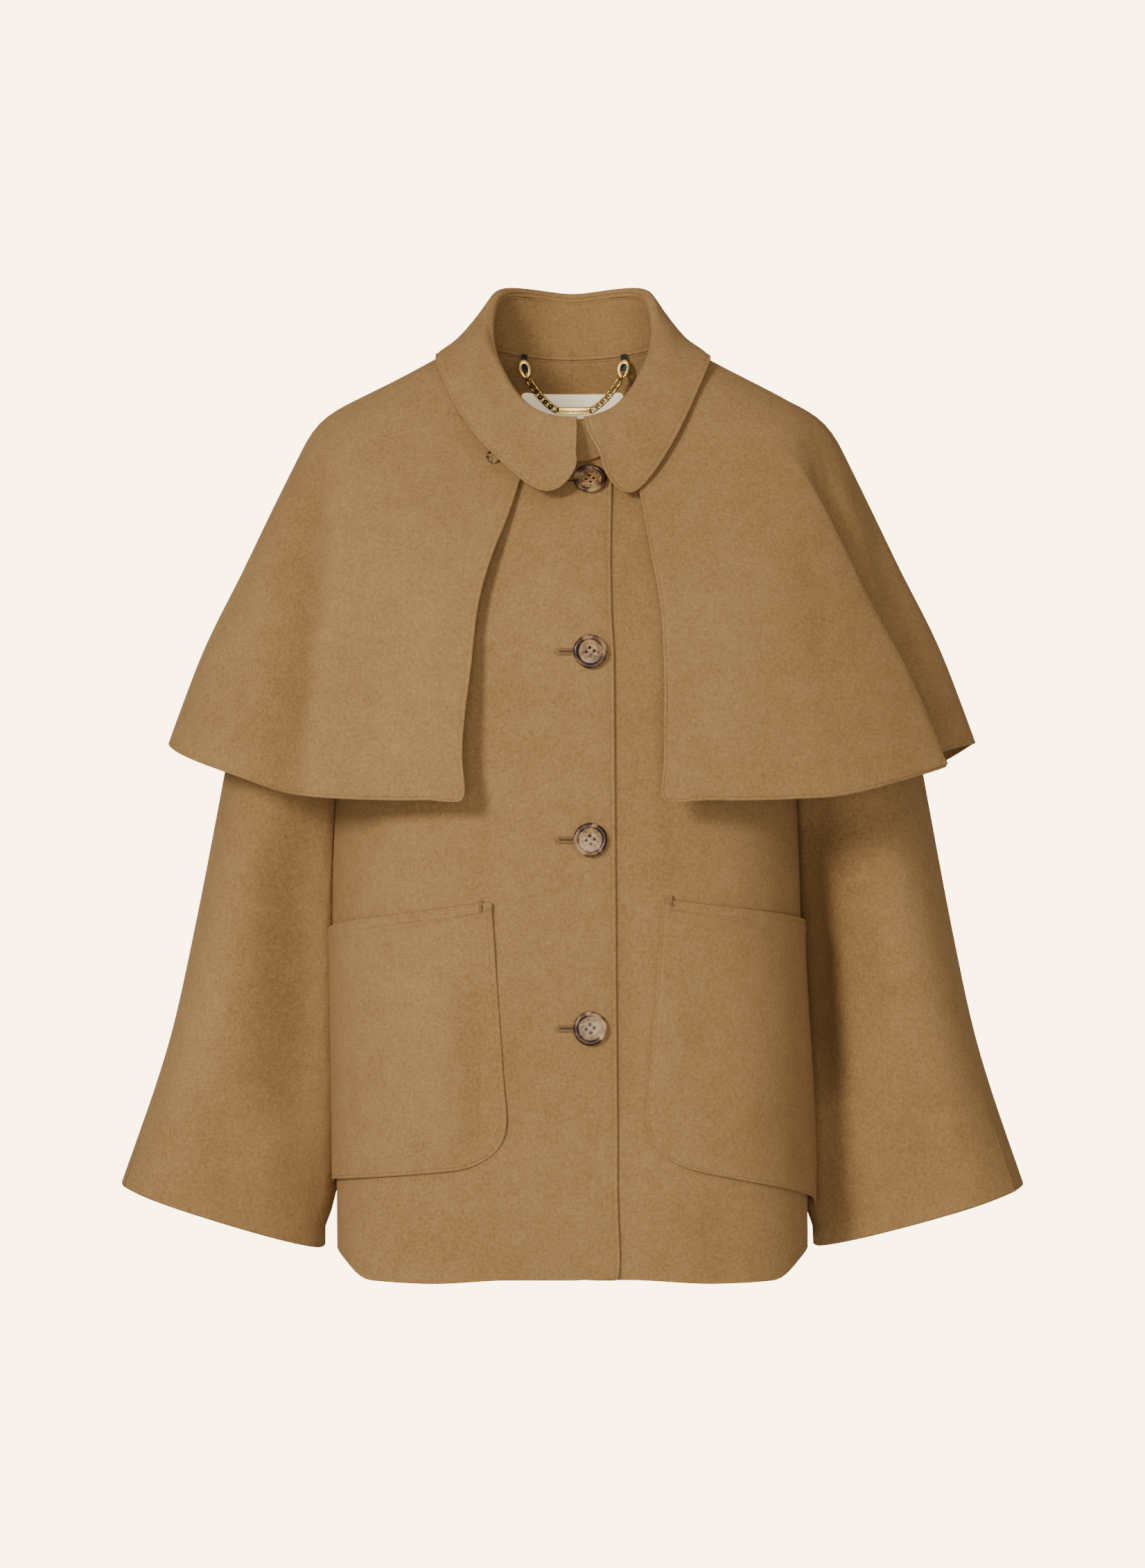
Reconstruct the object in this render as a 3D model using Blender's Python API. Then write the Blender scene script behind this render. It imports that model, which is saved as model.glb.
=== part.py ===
"""Cape jacket: a boxy wool jacket with a turned-down collar and a buttoned-on cape, worn and hollow.

Sizes are in millimetres and MM turns them into metres where a mesh is made. +Z is up, the front
faces -Y and the wearer's right is at -X. The origin is the middle of the neck opening, level with
the foot of the collar. A turn is the angle from the centre front (or, on a back panel, from the
centre back) towards the side. A side is -1 for the wearer's right and 1 for the left.
"""

from collections import namedtuple
from math import asin, atan2, cos, exp, pi, radians, sin, sqrt

import bmesh
import bpy
from mathutils import Matrix, Vector
from mathutils.bvhtree import BVHTree

MM = 0.001
RIGHT = -1
LEFT = 1
FRONT = -1
BACK = 1
SIDE_NAME = {RIGHT: "right", LEFT: "left"}
FACING_NAME = {FRONT: "front", BACK: "back"}

# Cloth
WALL = 2.2
SEAM = 0.3
LAID_ON = 0.4
CLEAR = 0.7

# Body, a row for each level from the hem up to the underarm
BodySection = namedtuple("BodySection", "z centre_x half_width front_depth back_depth roundness")
BODY = (
    BodySection(-700, 0.0, 181.5, 147, 142, 3.5),
    BodySection(-580, -1.0, 182.0, 145, 139, 2.9),
    BodySection(-400, -5.0, 181.0, 141, 135, 2.7),
    BodySection(-235, -3.0, 174.0, 132, 129, 2.5),
)
HEM_Z = BODY[0].z
UNDERARM_Z = BODY[-1].z
UNDERARM_V = 0.62

# Neck opening and shoulders
NECK_HALF_WIDTH = 76
NECK_DEPTH = {FRONT: 68, BACK: 72}
NECK_CENTRE_Z = {FRONT: -84, BACK: 5}
NECK_POINT_Z = 12
NECK_CURVE = {FRONT: 1.35, BACK: 2.0}
NECK_PLACE = 0.42
SHOULDER_TIP = Vector((188, 6, -49))
SHOULDER_Y = 4

# How far the cloth carries on in its own direction where it passes from a level to the next
BODY_RISE = 150
NECK_PULL = {FRONT: Vector((0, 75, 110)), BACK: Vector((0, -60, 95))}
CORNER_PULL = {FRONT: Vector((-70, 55, 90)), BACK: Vector((-60, -75, 45))}
SHOULDER_PULL = {FRONT: 190, BACK: 170}
SHOULDER_PLACE = 0.75
ARMHOLE_PULL = Vector((0, 240, 90))
ARMHOLE_PULL_PLACE = (0.68, 1)
ARMHOLE_SCOOP = {FRONT: 16, BACK: 10}
ARMHOLE_SCOOP_PLACE = (0.5, 1)

# Front closing: the right front laps over the left
LapEdge = namedtuple("LapEdge", "z x")
LAP = (LapEdge(HEM_Z, 34.0), LapEdge(-84, 30.0))
UNDERLAP_X = -10.0
LAP_STEP = (36.0, 70.0)

# Sleeves, a row for each ring from the upper arm to the cuff
SleeveRing = namedtuple("SleeveRing", "along outer_x outer_z inner_x inner_z half_depth centre_y")
SLEEVE = (
    SleeveRing(0.24, 247, -190, 180, -262, 71, 10),
    SleeveRing(0.45, 274, -330, 184.5, -380, 72, 20),
    SleeveRing(0.65, 295, -438, 187, -480, 69, 24),
    SleeveRing(0.83, 318.5, -541, 188, -586, 64, 24),
    SleeveRing(1.00, 353.5, -643, 189.5, -694, 58, 20),
)
SLEEVE_ROUNDNESS = 2.3
SLEEVE_TWIST = {RIGHT: radians(6), LEFT: radians(17)}
SLEEVE_SEAM_FORWARD = radians(12)
SLEEVE_SEAM_PLACE = (0.3, 1)
SLEEVE_SPARE = {RIGHT: 4.0, LEFT: -2.2}
SLEEVE_SPARE_PLACE = (0.2, 0.5)
SLEEVE_LEAVE = 0.42
UNDERARM_FALL = Vector((0.8, 0, -0.6))

# Patch pockets, from the front to the side seam
Pocket = namedtuple("Pocket", "top_x top_z top_side_z foot_x foot_z foot_side_z side_stand")
POCKETS = {
    RIGHT: Pocket(61, -420, -447, 47, -614, -640, 1.0),
    LEFT: Pocket(69, -418, -441, 53, -610, -659, 6.0),
}
POCKET_CORNER = 30
POCKET_CORNER_SHARE = 0.2
POCKET_BELLY = 2.4
POCKET_ROLL = 1.2
POCKET_BELLY_LEAN = (0.8, 1.2)
POCKET_STAND_PLACE = ((0.6, 1), (0.1, 0.9))
POCKET_ROLL_PLACE = (0.95, 0.965)

# Collar: the ridge it folds over, and the edges of its two leaves
CollarRidge = namedtuple("CollarRidge", "turn z")
RIDGE = (
    CollarRidge(-25, -48),
    CollarRidge(0, -53),
    CollarRidge(15, -51),
    CollarRidge(30, -43),
    CollarRidge(45, -28),
    CollarRidge(60, -9),
    CollarRidge(75, 8),
    CollarRidge(90, 28),
    CollarRidge(110, 52),
    CollarRidge(135, 60.5),
    CollarRidge(180, 58),
)
RIDGE_HALF_WIDTH = 61
RIDGE_DEPTH = {FRONT: 71, BACK: 61}
RIDGE_DROP = 8
RIDGE_ROLL = 4.4
LEG_V = 0.1
LEG_SEAM = 0.6
FOLD_V = 0.28
COLLAR_SHARES = [0.5 * (i / 15) ** 1.3 for i in range(16)]
STAND_ENDS = (radians(-8), radians(383))
STAND_LAP = 6.2
STAND_LAP_TURNS = (radians(35), radians(62))
STAND_DROP = 4.0
STAND_DROP_TURNS = (radians(14), radians(30))
STAND_SEAM = 0.8
STAND_UNDER = 3.6
STAND_UNDER_TURNS = (radians(28), radians(62))
STAND_TUCK = 3.0
STAND_TUCK_TURNS = (radians(362), radians(366))

LeafEdge = namedtuple("LeafEdge", "turn reach z")
LEAF = {
    RIGHT: (
        LeafEdge(-1.5, 98, -92),
        LeafEdge(3, 101, -104),
        LeafEdge(8, 104.5, -110),
        LeafEdge(13, 106, -111),
        LeafEdge(19, 107, -107),
        LeafEdge(26, 107.5, -97),
        LeafEdge(38, 107.5, -80),
        LeafEdge(50, 107, -60),
        LeafEdge(62, 107, -37),
        LeafEdge(75, 107, -12),
        LeafEdge(92, 104, -2),
        LeafEdge(120, 101, 2),
        LeafEdge(180, 98, 0),
    ),
    LEFT: (
        LeafEdge(16, 98, -94),
        LeafEdge(19.5, 101, -105),
        LeafEdge(24, 104, -111),
        LeafEdge(29, 106, -111),
        LeafEdge(34, 107, -103),
        LeafEdge(41, 107, -89),
        LeafEdge(52, 107, -63),
        LeafEdge(64, 107, -34),
        LeafEdge(77, 107, -11),
        LeafEdge(92, 104, -2),
        LeafEdge(120, 101, 2),
        LeafEdge(180, 98, 0),
    ),
}
LEAF_START = {RIGHT: -2.5, LEFT: 8.0}
LEAF_DROOP = 0.3

# Cape, a row for each line round it from the neck to the hem
CapeLine = namedtuple(
    "CapeLine",
    "along half_width side_z front_depth front_z back_depth back_z roundness right_edge left_edge",
)
CAPE = (
    CapeLine(0.00, 82, 12, 74, -78, 79, 6, 2.0, 36, 46),
    CapeLine(0.12, 124, -11, 92, -107, 97, -24, 2.0, 43, 53),
    CapeLine(0.24, 165, -32, 110, -138, 113, -60, 2.0, 53, 58),
    CapeLine(0.34, 198, -55, 124, -164, 124, -92, 2.0, 63, 62),
    CapeLine(0.46, 223, -97, 137, -200, 134, -140, 2.1, 73, 68),
    CapeLine(0.64, 255, -163, 150, -246, 147, -205, 2.2, 78, 70),
    CapeLine(0.82, 286.5, -227, 160, -294, 158, -275, 2.3, 83, 69),
    CapeLine(1.00, 314, -300, 168, -344, 168, -345, 2.4, 82, 68),
)
CAPE_SIDE_RISE = (4.0, 11.5)
CAPE_SIDE_RISE_PLACE = (0.5, 1)
CAPE_SEAM_U = 0.52

# Soft folds of the cape: outward ridges, or troughs with a height below 0; turns in degrees
SoftFold = namedtuple("SoftFold", "side top_turn hem_turn width height start")
SOFT_FOLDS = (
    SoftFold(RIGHT, 66, 54, 7, 7, 0.3),
    SoftFold(RIGHT, 78, 68, 9, -12, 0.3),
    SoftFold(RIGHT, 118, 122, 11, 9, 0.4),
    SoftFold(RIGHT, 140, 149, 12, -8, 0.35),
    SoftFold(LEFT, 112, 116, 12, 8, 0.45),
    SoftFold(LEFT, 136, 141, 13, -9, 0.35),
    SoftFold(LEFT, 160, 166, 10, 6, 0.5),
)

# The deep fold in the left front of the cape, where the cloth doubles back under itself: two bends
# with a run between them; turns in degrees
Pleat = namedtuple(
    "Pleat", "top_turn hem_turn width heading start bend top_run run run_start recovery"
)
PLEAT = Pleat(73, 69, 8, radians(165), 0.2, 14, 10, 24, 0.5, 13)
PLEAT_MARKS = (0, 0.2, 0.42, 0.58, 0.8, 1)

# Buttons; the profile is in shares of the radius and the height, from the top to the foot
Button = namedtuple("Button", "radius height hole_circle hole_radius steps hole_sides")
LARGE_BUTTON = Button(12.7, 4.2, 3.0, 0.95, 22, 6)
SMALL_BUTTON = Button(5.8, 2.6, 1.7, 0.55, 12, 5)
BUTTON_PROFILE = (
    (0, 0.62),
    (0.66, 0.62),
    (0.76, 0.96),
    (0.84, 1),
    (0.93, 0.93),
    (1, 0.66),
    (0.97, 0.38),
    (0.7, 0),
    (0, 0),
)
BUTTON_SPOTS = 24
BUTTON_OFF = 0.4
FRONT_PLACE = 0.2
BUTTON_X = 13.2
BUTTON_Z = (-102.0, -233.6, -373.7, -513.4)
SMALL_BUTTON_AT = {RIGHT: (-60, -84.6), LEFT: (66, -78)}

# Label inside the back
Label = namedtuple("Label", "half_width top_z low_z wall")
LABEL = Label(41, -19.6, -62, 0.8)
LABEL_SEAT = 1.1
LABEL_PLACE = (0.1, 0.93)

# Hanger chain: the ring centres at its two ends are on the line it swings about
HINGE = Vector((1.25, 53.5, -9.55))
CHAIN_HALF_SPAN = 37.5
FlatRing = namedtuple("FlatRing", "length width hole_length hole_width thickness")
RING = FlatRing(14.7, 9.6, 10.0, 6.4, 1.2)
RING_TILT = radians(14)
RING_ABOVE_HINGE = 7.0
RING_POINTS = 22
HOLE_POINTS = 16
TOP_RING_SIZE = 8.4
Link = namedtuple("Link", "length width wire")
LINK = Link(8.2, 5.2, 1.2)
LINKS = 6
LOOP_POINTS = 12
LINK_ROLL = (90, 0)
LINK_PITCH = 5.5
TOP_RING_PITCH = 5.75
LINK_END = 3.5
LINK_STRAIGHT = 2.5
CHAIN_SAG = 14
Bar = namedtuple("Bar", "length width thickness hole")
BAR = Bar(30, 5.5, 1.2, 2.6)
BAR_HOLE_X = 13.3
BAR_Z = -36.0
Tab = namedtuple("Tab", "width low_z top_z wall behind seat")
TAB = Tab(7, -4.5, 9, 1.0, 1.1, 1.9)
TAB_LEAN = (0, 0.7)


def mix(a, b, share):
    return a + (b - a) * share


def ease(low, high, value):
    """0 up to low, 1 from high and a smooth step between them."""
    share = min(max((value - low) / (high - low), 0.0), 1.0)
    return share * share * (3 - 2 * share)


def hump(share):
    """Rises smoothly from 0 to 1 halfway and falls back to 0."""
    return (4 * share * (1 - share)) ** 2


def hermite(start, start_pull, end, end_pull, share):
    """A cubic from start to end that leaves and arrives along the two pulls."""
    squared = share * share
    cubed = squared * share
    return (
        start * (2 * cubed - 3 * squared + 1)
        + start_pull * (cubed - 2 * squared + share)
        + end * (3 * squared - 2 * cubed)
        + end_pull * (cubed - squared)
    )


def slope(table, column, i):
    """How fast a column changes at row i, from the rows on both sides of it."""
    before, after = max(i - 1, 0), min(i + 1, len(table) - 1)
    return (table[after][column] - table[before][column]) / (table[after][0] - table[before][0])


def row_at(table, place):
    """The row of a table at a place in its first column, on a smooth curve through its rows."""
    i = 0
    while i < len(table) - 2 and place > table[i + 1][0]:
        i += 1
    here, there = table[i], table[i + 1]
    span = there[0] - here[0]
    share = (place - here[0]) / span
    return type(here)(
        *(
            hermite(
                here[column],
                slope(table, column, i) * span,
                there[column],
                slope(table, column, i + 1) * span,
                share,
            )
            for column in range(len(here))
        )
    )


def ring_reach(turn, width, depth, roundness):
    """How far a rounded box of this half width and half depth reaches in the direction of turn."""
    return (
        abs(sin(turn) / width) ** roundness + abs(cos(turn) / depth) ** roundness
    ) ** (-1 / roundness)


# ---------------------------------------------------------------- making a wall of cloth

NEAR = 1e-3
SEARCH_STEPS = 8
IN_FRONT = -500


def face_direction(surface, u, v):
    """The unit normal of a surface that runs u across and v along."""
    across = surface(min(u + NEAR, 1), v) - surface(max(u - NEAR, 0), v)
    along = surface(u, min(v + NEAR, 1)) - surface(u, max(v - NEAR, 0))
    return across.cross(along).normalized()


def moved_out(surface, hand, distance):
    """The surface moved out by a distance, which is a function of u and v."""

    def moved(u, v):
        return surface(u, v) + face_direction(surface, u, v) * hand * distance(u, v)

    return moved


def seam_shift(laid, place, neighbour):
    """Half a seam, from an edge point towards its neighbour in the same piece."""
    return (laid[neighbour][0] - laid[place][0]).normalized() * SEAM / 2


OUTER_SIDES = {}
LIFT_PASSES = 24
LIFT_REACH = 14
HALVES = (0, 0.5, 1)
QUARTERS = (0, 0.25, 0.5, 0.75, 1)


def outer_side(names):
    """The outer sides of pieces made earlier, in one tree."""
    points, faces = [], []
    for name in names:
        own_points, own_faces = OUTER_SIDES[name]
        faces += [[len(points) + corner for corner in face] for face in own_faces]
        points += own_points
    return BVHTree.FromPolygons(points, faces)


def keep_outer_side(name, laid, columns, rows, flipped):
    number = {place: k for k, place in enumerate(laid)}
    faces = []
    for i in range(columns):
        for j in range(rows):
            face = [number[i, j], number[i + 1, j], number[i + 1, j + 1], number[i, j + 1]]
            faces.append(face[::-1] if flipped else face)
    OUTER_SIDES[name] = [laid[place][0].copy() for place in laid], faces


def lift_clear(laid, columns, rows, wall, below, first_row):
    """Move a pattern out until its inner side clears the pieces below it, also between points."""
    for _ in range(LIFT_PASSES):
        lifts = {}
        for i in range(columns):
            for j in range(first_row, rows):
                corners = (i, j), (i + 1, j), (i, j + 1), (i + 1, j + 1)
                inner = [laid[corner][0] - laid[corner][1] * wall for corner in corners]
                for across in QUARTERS:
                    for along in QUARTERS:
                        low, high = mix(inner[0], inner[1], across), mix(inner[2], inner[3], across)
                        spot = mix(low, high, along)
                        found, out, _, away = below.find_nearest(spot, LIFT_REACH)
                        if found is None:
                            continue
                        short = CLEAR - (spot - found).dot(out)
                        if short <= 0:
                            continue
                        shares = (1 - across) * (1 - along), across * (1 - along)
                        shares += (1 - across) * along, across * along
                        for corner, share in zip(corners, shares):
                            lift = short * min(2 * share, 1)
                            if lift > lifts.get(corner, Vector()).length:
                                lifts[corner] = out * lift
        for corner, lift in lifts.items():
            laid[corner][0] = laid[corner][0] + lift
        if not lifts:
            break


def cloth(
    name, surface, across, along, hand, material,
    wall=WALL, seams="", over=(), over_row=0, lean=None,
):
    """A wall under a surface: a flat pattern is thickened, then each corner is laid in its place.

    The seams are the edges that join another piece: "first" and "last" column, "foot" and "top" row.
    It clears the pieces it lies over, from over_row on. Lean gives the wall's direction where it
    isn't square to the surface.
    """
    columns, rows = len(across) - 1, len(along) - 1
    laid = {}
    for i, u in enumerate(across):
        for j, v in enumerate(along):
            out = lean(u, v) if lean else None
            laid[i, j] = [surface(u, v), out or face_direction(surface, u, v) * hand]
    if over:
        lift_clear(laid, columns, rows, wall, outer_side(over), over_row)
    keep_outer_side(name, laid, columns, rows, hand < 0)
    shifts = {place: Vector() for place in laid}
    for i, j in laid:
        if i == 0 and "first" in seams:
            shifts[i, j] += seam_shift(laid, (i, j), (1, j))
        if i == columns and "last" in seams:
            shifts[i, j] += seam_shift(laid, (i, j), (i - 1, j))
        if j == 0 and "foot" in seams:
            shifts[i, j] += seam_shift(laid, (i, j), (i, 1))
        if j == rows and "top" in seams:
            shifts[i, j] += seam_shift(laid, (i, j), (i, j - 1))
    bm = bmesh.new()
    bmesh.ops.create_grid(bm, x_segments=columns, y_segments=rows, size=0.5)
    bmesh.ops.solidify(bm, geom=bm.faces[:], thickness=1.0)
    bmesh.ops.recalc_face_normals(bm, faces=bm.faces[:])
    inner_above = max(vert.co.z for vert in bm.verts) > 0.5
    for vert in bm.verts:
        place = round((vert.co.x + 0.5) * columns), round((vert.co.y + 0.5) * rows)
        point, out = laid[place]
        inner = abs(vert.co.z) > 0.5
        vert.co = (point + shifts[place] - out * wall * inner) * MM
    if inner_above == (hand > 0):
        bmesh.ops.reverse_faces(bm, faces=bm.faces[:])
    return add_piece(name, bm, material)


def add_piece(name, bm, material):
    """An object of its own from a bmesh, shaded smooth but for its edges."""
    mesh = bpy.data.meshes.new(name)
    bm.to_mesh(mesh)
    bm.free()
    mesh.shade_smooth()
    mesh.set_sharp_from_angle(angle=radians(50))
    mesh.materials.append(material)
    piece = bpy.data.objects.new(name, mesh)
    GARMENT.objects.link(piece)
    return piece


def spread(count, start=0.0, end=1.0, power=1.0):
    """Evenly spaced values from start to end, closer together at the start with a higher power."""
    return [mix(start, end, (i / count) ** power) for i in range(count + 1)]


def finish(name, colour, roughness, metallic=0.0):
    material = bpy.data.materials.new(name)
    material.use_nodes = True
    shader = material.node_tree.nodes["Principled BSDF"]
    shader.inputs["Base Color"].default_value = (*colour, 1)
    shader.inputs["Roughness"].default_value = roughness
    shader.inputs["Metallic"].default_value = metallic
    material.diffuse_color = (*colour, 1)
    return material


# ---------------------------------------------------------------- body

def lap_x(side, z):
    """Where a front ends, on or past the centre line."""
    return row_at(LAP, z).x if side == RIGHT else UNDERLAP_X


def body_point(z, side, turn, facing):
    row = row_at(BODY, z)
    depth = row.front_depth if facing == FRONT else row.back_depth
    reach = ring_reach(turn, row.half_width, depth, row.roundness)
    return Vector((row.centre_x + side * reach * sin(turn), facing * reach * cos(turn), z))


def closing_turn(z, side, facing):
    """The turn at which a quarter of the body starts, at its centre seam or its closing."""
    if facing == BACK:
        return 0.0
    row = row_at(BODY, z)
    return atan2(side * (lap_x(side, z) - row.centre_x), row.front_depth)


def neck_point(side, turn, facing):
    """A point of the neck seam."""
    curve = abs(cos(turn)) ** NECK_CURVE[facing]
    return Vector((
        side * NECK_HALF_WIDTH * sin(turn),
        facing * NECK_DEPTH[facing] * cos(turn) + SHOULDER_Y * sin(turn) ** 2,
        mix(NECK_POINT_Z, NECK_CENTRE_Z[facing], curve),
    ))


def top_edge(side, facing, place):
    """The top of a quarter: along the neck seam, then down the shoulder seam to the armhole."""
    if place < NECK_PLACE:
        return neck_point(side, place / NECK_PLACE * pi / 2, facing)
    neck = neck_point(side, pi / 2, facing)
    tip = Vector((side * SHOULDER_TIP.x, SHOULDER_TIP.y, SHOULDER_TIP.z))
    return mix(neck, tip, (place - NECK_PLACE) / (1 - NECK_PLACE))


def yoke_point(side, facing, place, rise):
    """A point between the underarm level (rise 0) and the neck and shoulder seams (rise 1).

    The place runs from 0 on the centre line to 1 at the armhole, and below 0 past the centre line.
    """
    foot_turn = place * pi / 2
    foot = body_point(UNDERARM_Z, side, foot_turn, facing)
    below = body_point(UNDERARM_Z - 1, side, foot_turn, facing)
    armhole_pull = Vector((0, facing * ARMHOLE_PULL.y, ARMHOLE_PULL.z))
    foot_pull = mix((foot - below) * BODY_RISE, armhole_pull, ease(*ARMHOLE_PULL_PLACE, place) ** 2)
    shoulder_pull = Vector((0, -facing * SHOULDER_PULL[facing], 0))
    corner_pull = CORNER_PULL[facing].copy()
    corner_pull.x *= side
    top_pull = mix(NECK_PULL[facing], corner_pull, ease(0, NECK_PLACE, abs(place)))
    top_pull = mix(top_pull, shoulder_pull, ease(NECK_PLACE, SHOULDER_PLACE, place))
    scoop = ARMHOLE_SCOOP[facing] * ease(*ARMHOLE_SCOOP_PLACE, place) * hump(rise)
    point = hermite(foot, foot_pull, top_edge(side, facing, place), top_pull, rise)
    return point - Vector((side * scoop, 0, 0))


def top_start(side):
    """The place where the neck seam of a front starts."""
    top_x = lap_x(side, NECK_CENTRE_Z[FRONT])
    return asin(side * top_x / NECK_HALF_WIDTH) / (pi / 2) * NECK_PLACE


def quarter(side, facing):
    """The outer surface of a quarter of the body: u from centre to side, v from hem to top."""
    top_place = top_start(side) if facing == FRONT else 0.0
    foot_place = closing_turn(UNDERARM_Z, side, facing) / (pi / 2)

    def surface(u, v):
        if v > UNDERARM_V:
            rise = (v - UNDERARM_V) / (1 - UNDERARM_V)
            return yoke_point(side, facing, mix(mix(foot_place, top_place, rise), 1, u), rise)
        z = mix(HEM_Z, UNDERARM_Z, v / UNDERARM_V)
        turn = mix(closing_turn(z, side, facing), pi / 2, u)
        return body_point(z, side, turn, facing)

    return surface


def lap_step(x):
    """How far the left front lies back, to pass under the right one."""
    return (WALL + LAID_ON) * (1 - ease(*LAP_STEP, x))


def left_front(u, v):
    """The left front, stepped back where the right one covers it."""
    flat = quarter(LEFT, FRONT)
    return flat(u, v) - face_direction(flat, u, v) * lap_step(flat(u, v).x)


PANELS = {
    (RIGHT, FRONT): quarter(RIGHT, FRONT),
    (LEFT, FRONT): left_front,
    (RIGHT, BACK): quarter(RIGHT, BACK),
    (LEFT, BACK): quarter(LEFT, BACK),
}


def panel_hand(side, facing):
    return -side * facing


def outward(side, turn):
    """Straight out from the neck, with the turn counted from the centre front."""
    return Vector((side * sin(turn), -cos(turn), 0))


def shoulder_mitre(side, place):
    """The direction halfway between the front's and the back's at a place on the shoulder seam."""
    total = Vector()
    for facing in (FRONT, BACK):
        start = top_start(side) if facing == FRONT else 0.0
        u = (place - start) / (1 - start)
        total += face_direction(PANELS[side, facing], u, 1) * panel_hand(side, facing)
    return total.normalized()


def make_body(material):
    rows = spread(10, 0, UNDERARM_V)[:-1] + spread(9, UNDERARM_V, 1)
    for (side, facing), surface in PANELS.items():
        start = top_start(side) if facing == FRONT else 0.0
        corner = (NECK_PLACE - start) / (1 - start)
        to_neck, to_tip = (8, 7) if facing == FRONT else (7, 6)
        columns = spread(to_neck, 0, corner) + spread(to_tip, corner, 1)[1:]

        def lean(u, v):
            if v < 1:
                return None
            place = mix(start, 1, u)
            if place > NECK_PLACE + NEAR:
                return shoulder_mitre(side, place)
            turn = place / NECK_PLACE * pi / 2
            return outward(side, turn if facing == FRONT else pi - turn)

        name = f"{FACING_NAME[facing]}_{SIDE_NAME[side]}"
        seams = "last top" if facing == FRONT else "first last top"
        hand = panel_hand(side, facing)
        cloth(name, surface, columns, rows, hand, material, seams=seams, lean=lean)


# ---------------------------------------------------------------- sleeves

def sleeve_ring(side, facing, share, along):
    """A point of a ring: share 0 under the arm and 1 at the seam on its outer side."""
    row = row_at(SLEEVE, along)
    outer = Vector((side * row.outer_x, row.centre_y, row.outer_z))
    spare = SLEEVE_SPARE[side] * ease(*SLEEVE_SPARE_PLACE, along)
    inner = Vector((side * (row.inner_x + spare), row.centre_y, row.inner_z))
    out, forward = (outer - inner).normalized(), Vector((0, FRONT, 0))
    twist = SLEEVE_TWIST[side]
    out, forward = out * cos(twist) + forward * sin(twist), forward * cos(twist) - out * sin(twist)
    seam = -facing * SLEEVE_SEAM_FORWARD * ease(*SLEEVE_SEAM_PLACE, along)
    turn = mix(pi, seam, share)
    half_width = (outer - inner).length / 2
    reach = ring_reach(turn, row.half_depth, half_width, SLEEVE_ROUNDNESS)
    return (outer + inner) / 2 + (out * cos(turn) - forward * facing * sin(turn)) * reach


def sleeve(side, facing):
    """Half a sleeve: u from the underarm to the outer seam, v from the armhole to the cuff."""
    first = SLEEVE[0].along

    def surface(u, v):
        if v >= first:
            return sleeve_ring(side, facing, u, v)
        edge = yoke_point(side, facing, 1, u)
        leave = (edge - yoke_point(side, facing, 1 - NEAR, u)).normalized()
        fall = Vector((side * UNDERARM_FALL.x, 0, UNDERARM_FALL.z))
        leave = mix(fall, leave, ease(0, 0.5, u)).normalized()
        end = sleeve_ring(side, facing, u, first)
        arrive = (sleeve_ring(side, facing, u, first + NEAR) - end).normalized()
        length = (end - edge).length
        start_pull = leave * length * SLEEVE_LEAVE
        return hermite(edge + leave * SEAM, start_pull, end, arrive * length, v / first)

    return surface


def make_sleeves(material):
    rows = spread(5, 0, SLEEVE[0].along)[:-1] + spread(8, SLEEVE[0].along, 1)
    for side in (RIGHT, LEFT):
        halves = {facing: sleeve(side, facing) for facing in (FRONT, BACK)}

        def lean(u, v):
            if 0 < u < 1:
                return None
            both = [face_direction(half, u, v) * side * facing for facing, half in halves.items()]
            return (both[0] + both[1]).normalized()

        for facing, half in halves.items():
            name = f"sleeve_{SIDE_NAME[side]}_{FACING_NAME[facing]}"
            hand = side * facing
            cloth(name, half, spread(9), rows, hand, material, seams="first last", lean=lean)


# ---------------------------------------------------------------- pockets

def pocket(side):
    """A patch on the front: u from its front edge to the side seam, v from its foot to its mouth."""
    cut = POCKETS[side]
    panel = PANELS[side, FRONT]

    def on_panel(u, v):
        corner = 1 - min(u / POCKET_CORNER_SHARE, 1)
        lift = POCKET_CORNER * (1 - sqrt(1 - corner ** 2))
        foot = mix(cut.foot_z, cut.foot_side_z, u) + lift
        z = mix(foot, mix(cut.top_z, cut.top_side_z, u), v)
        start = closing_turn(z, side, FRONT)
        front_x = mix(cut.foot_x, cut.top_x, (z - cut.foot_z) / (cut.top_z - cut.foot_z))
        row = row_at(BODY, z)
        front_turn = atan2(front_x - side * row.centre_x, row.front_depth)
        turn = mix(front_turn, pi / 2, u)
        return panel((turn - start) / (pi / 2 - start), (z - HEM_Z) / (UNDERARM_Z - HEM_Z) * UNDERARM_V)

    def off_panel(u, v):
        lean_u, lean_v = POCKET_BELLY_LEAN
        belly = POCKET_BELLY * sin(pi * u ** lean_u) * sin(pi * v ** lean_v)
        to_side, to_mouth = POCKET_STAND_PLACE
        stand_off = cut.side_stand * ease(*to_side, u) * (1 - ease(*to_mouth, v))
        roll = POCKET_ROLL * ease(*POCKET_ROLL_PLACE, v)
        return LAID_ON + WALL + belly + stand_off + roll

    return moved_out(on_panel, panel_hand(side, FRONT), off_panel)


def make_pockets(material):
    columns = spread(10, power=1.5)
    rows = spread(7, 0, 0.94) + [0.965, 1]
    for side in (RIGHT, LEFT):
        name = f"pocket_{SIDE_NAME[side]}"
        hand = panel_hand(side, FRONT)
        under = [f"front_{SIDE_NAME[side]}"]
        cloth(name, pocket(side), columns, rows, hand, material, over=under)


# ---------------------------------------------------------------- collar

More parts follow.
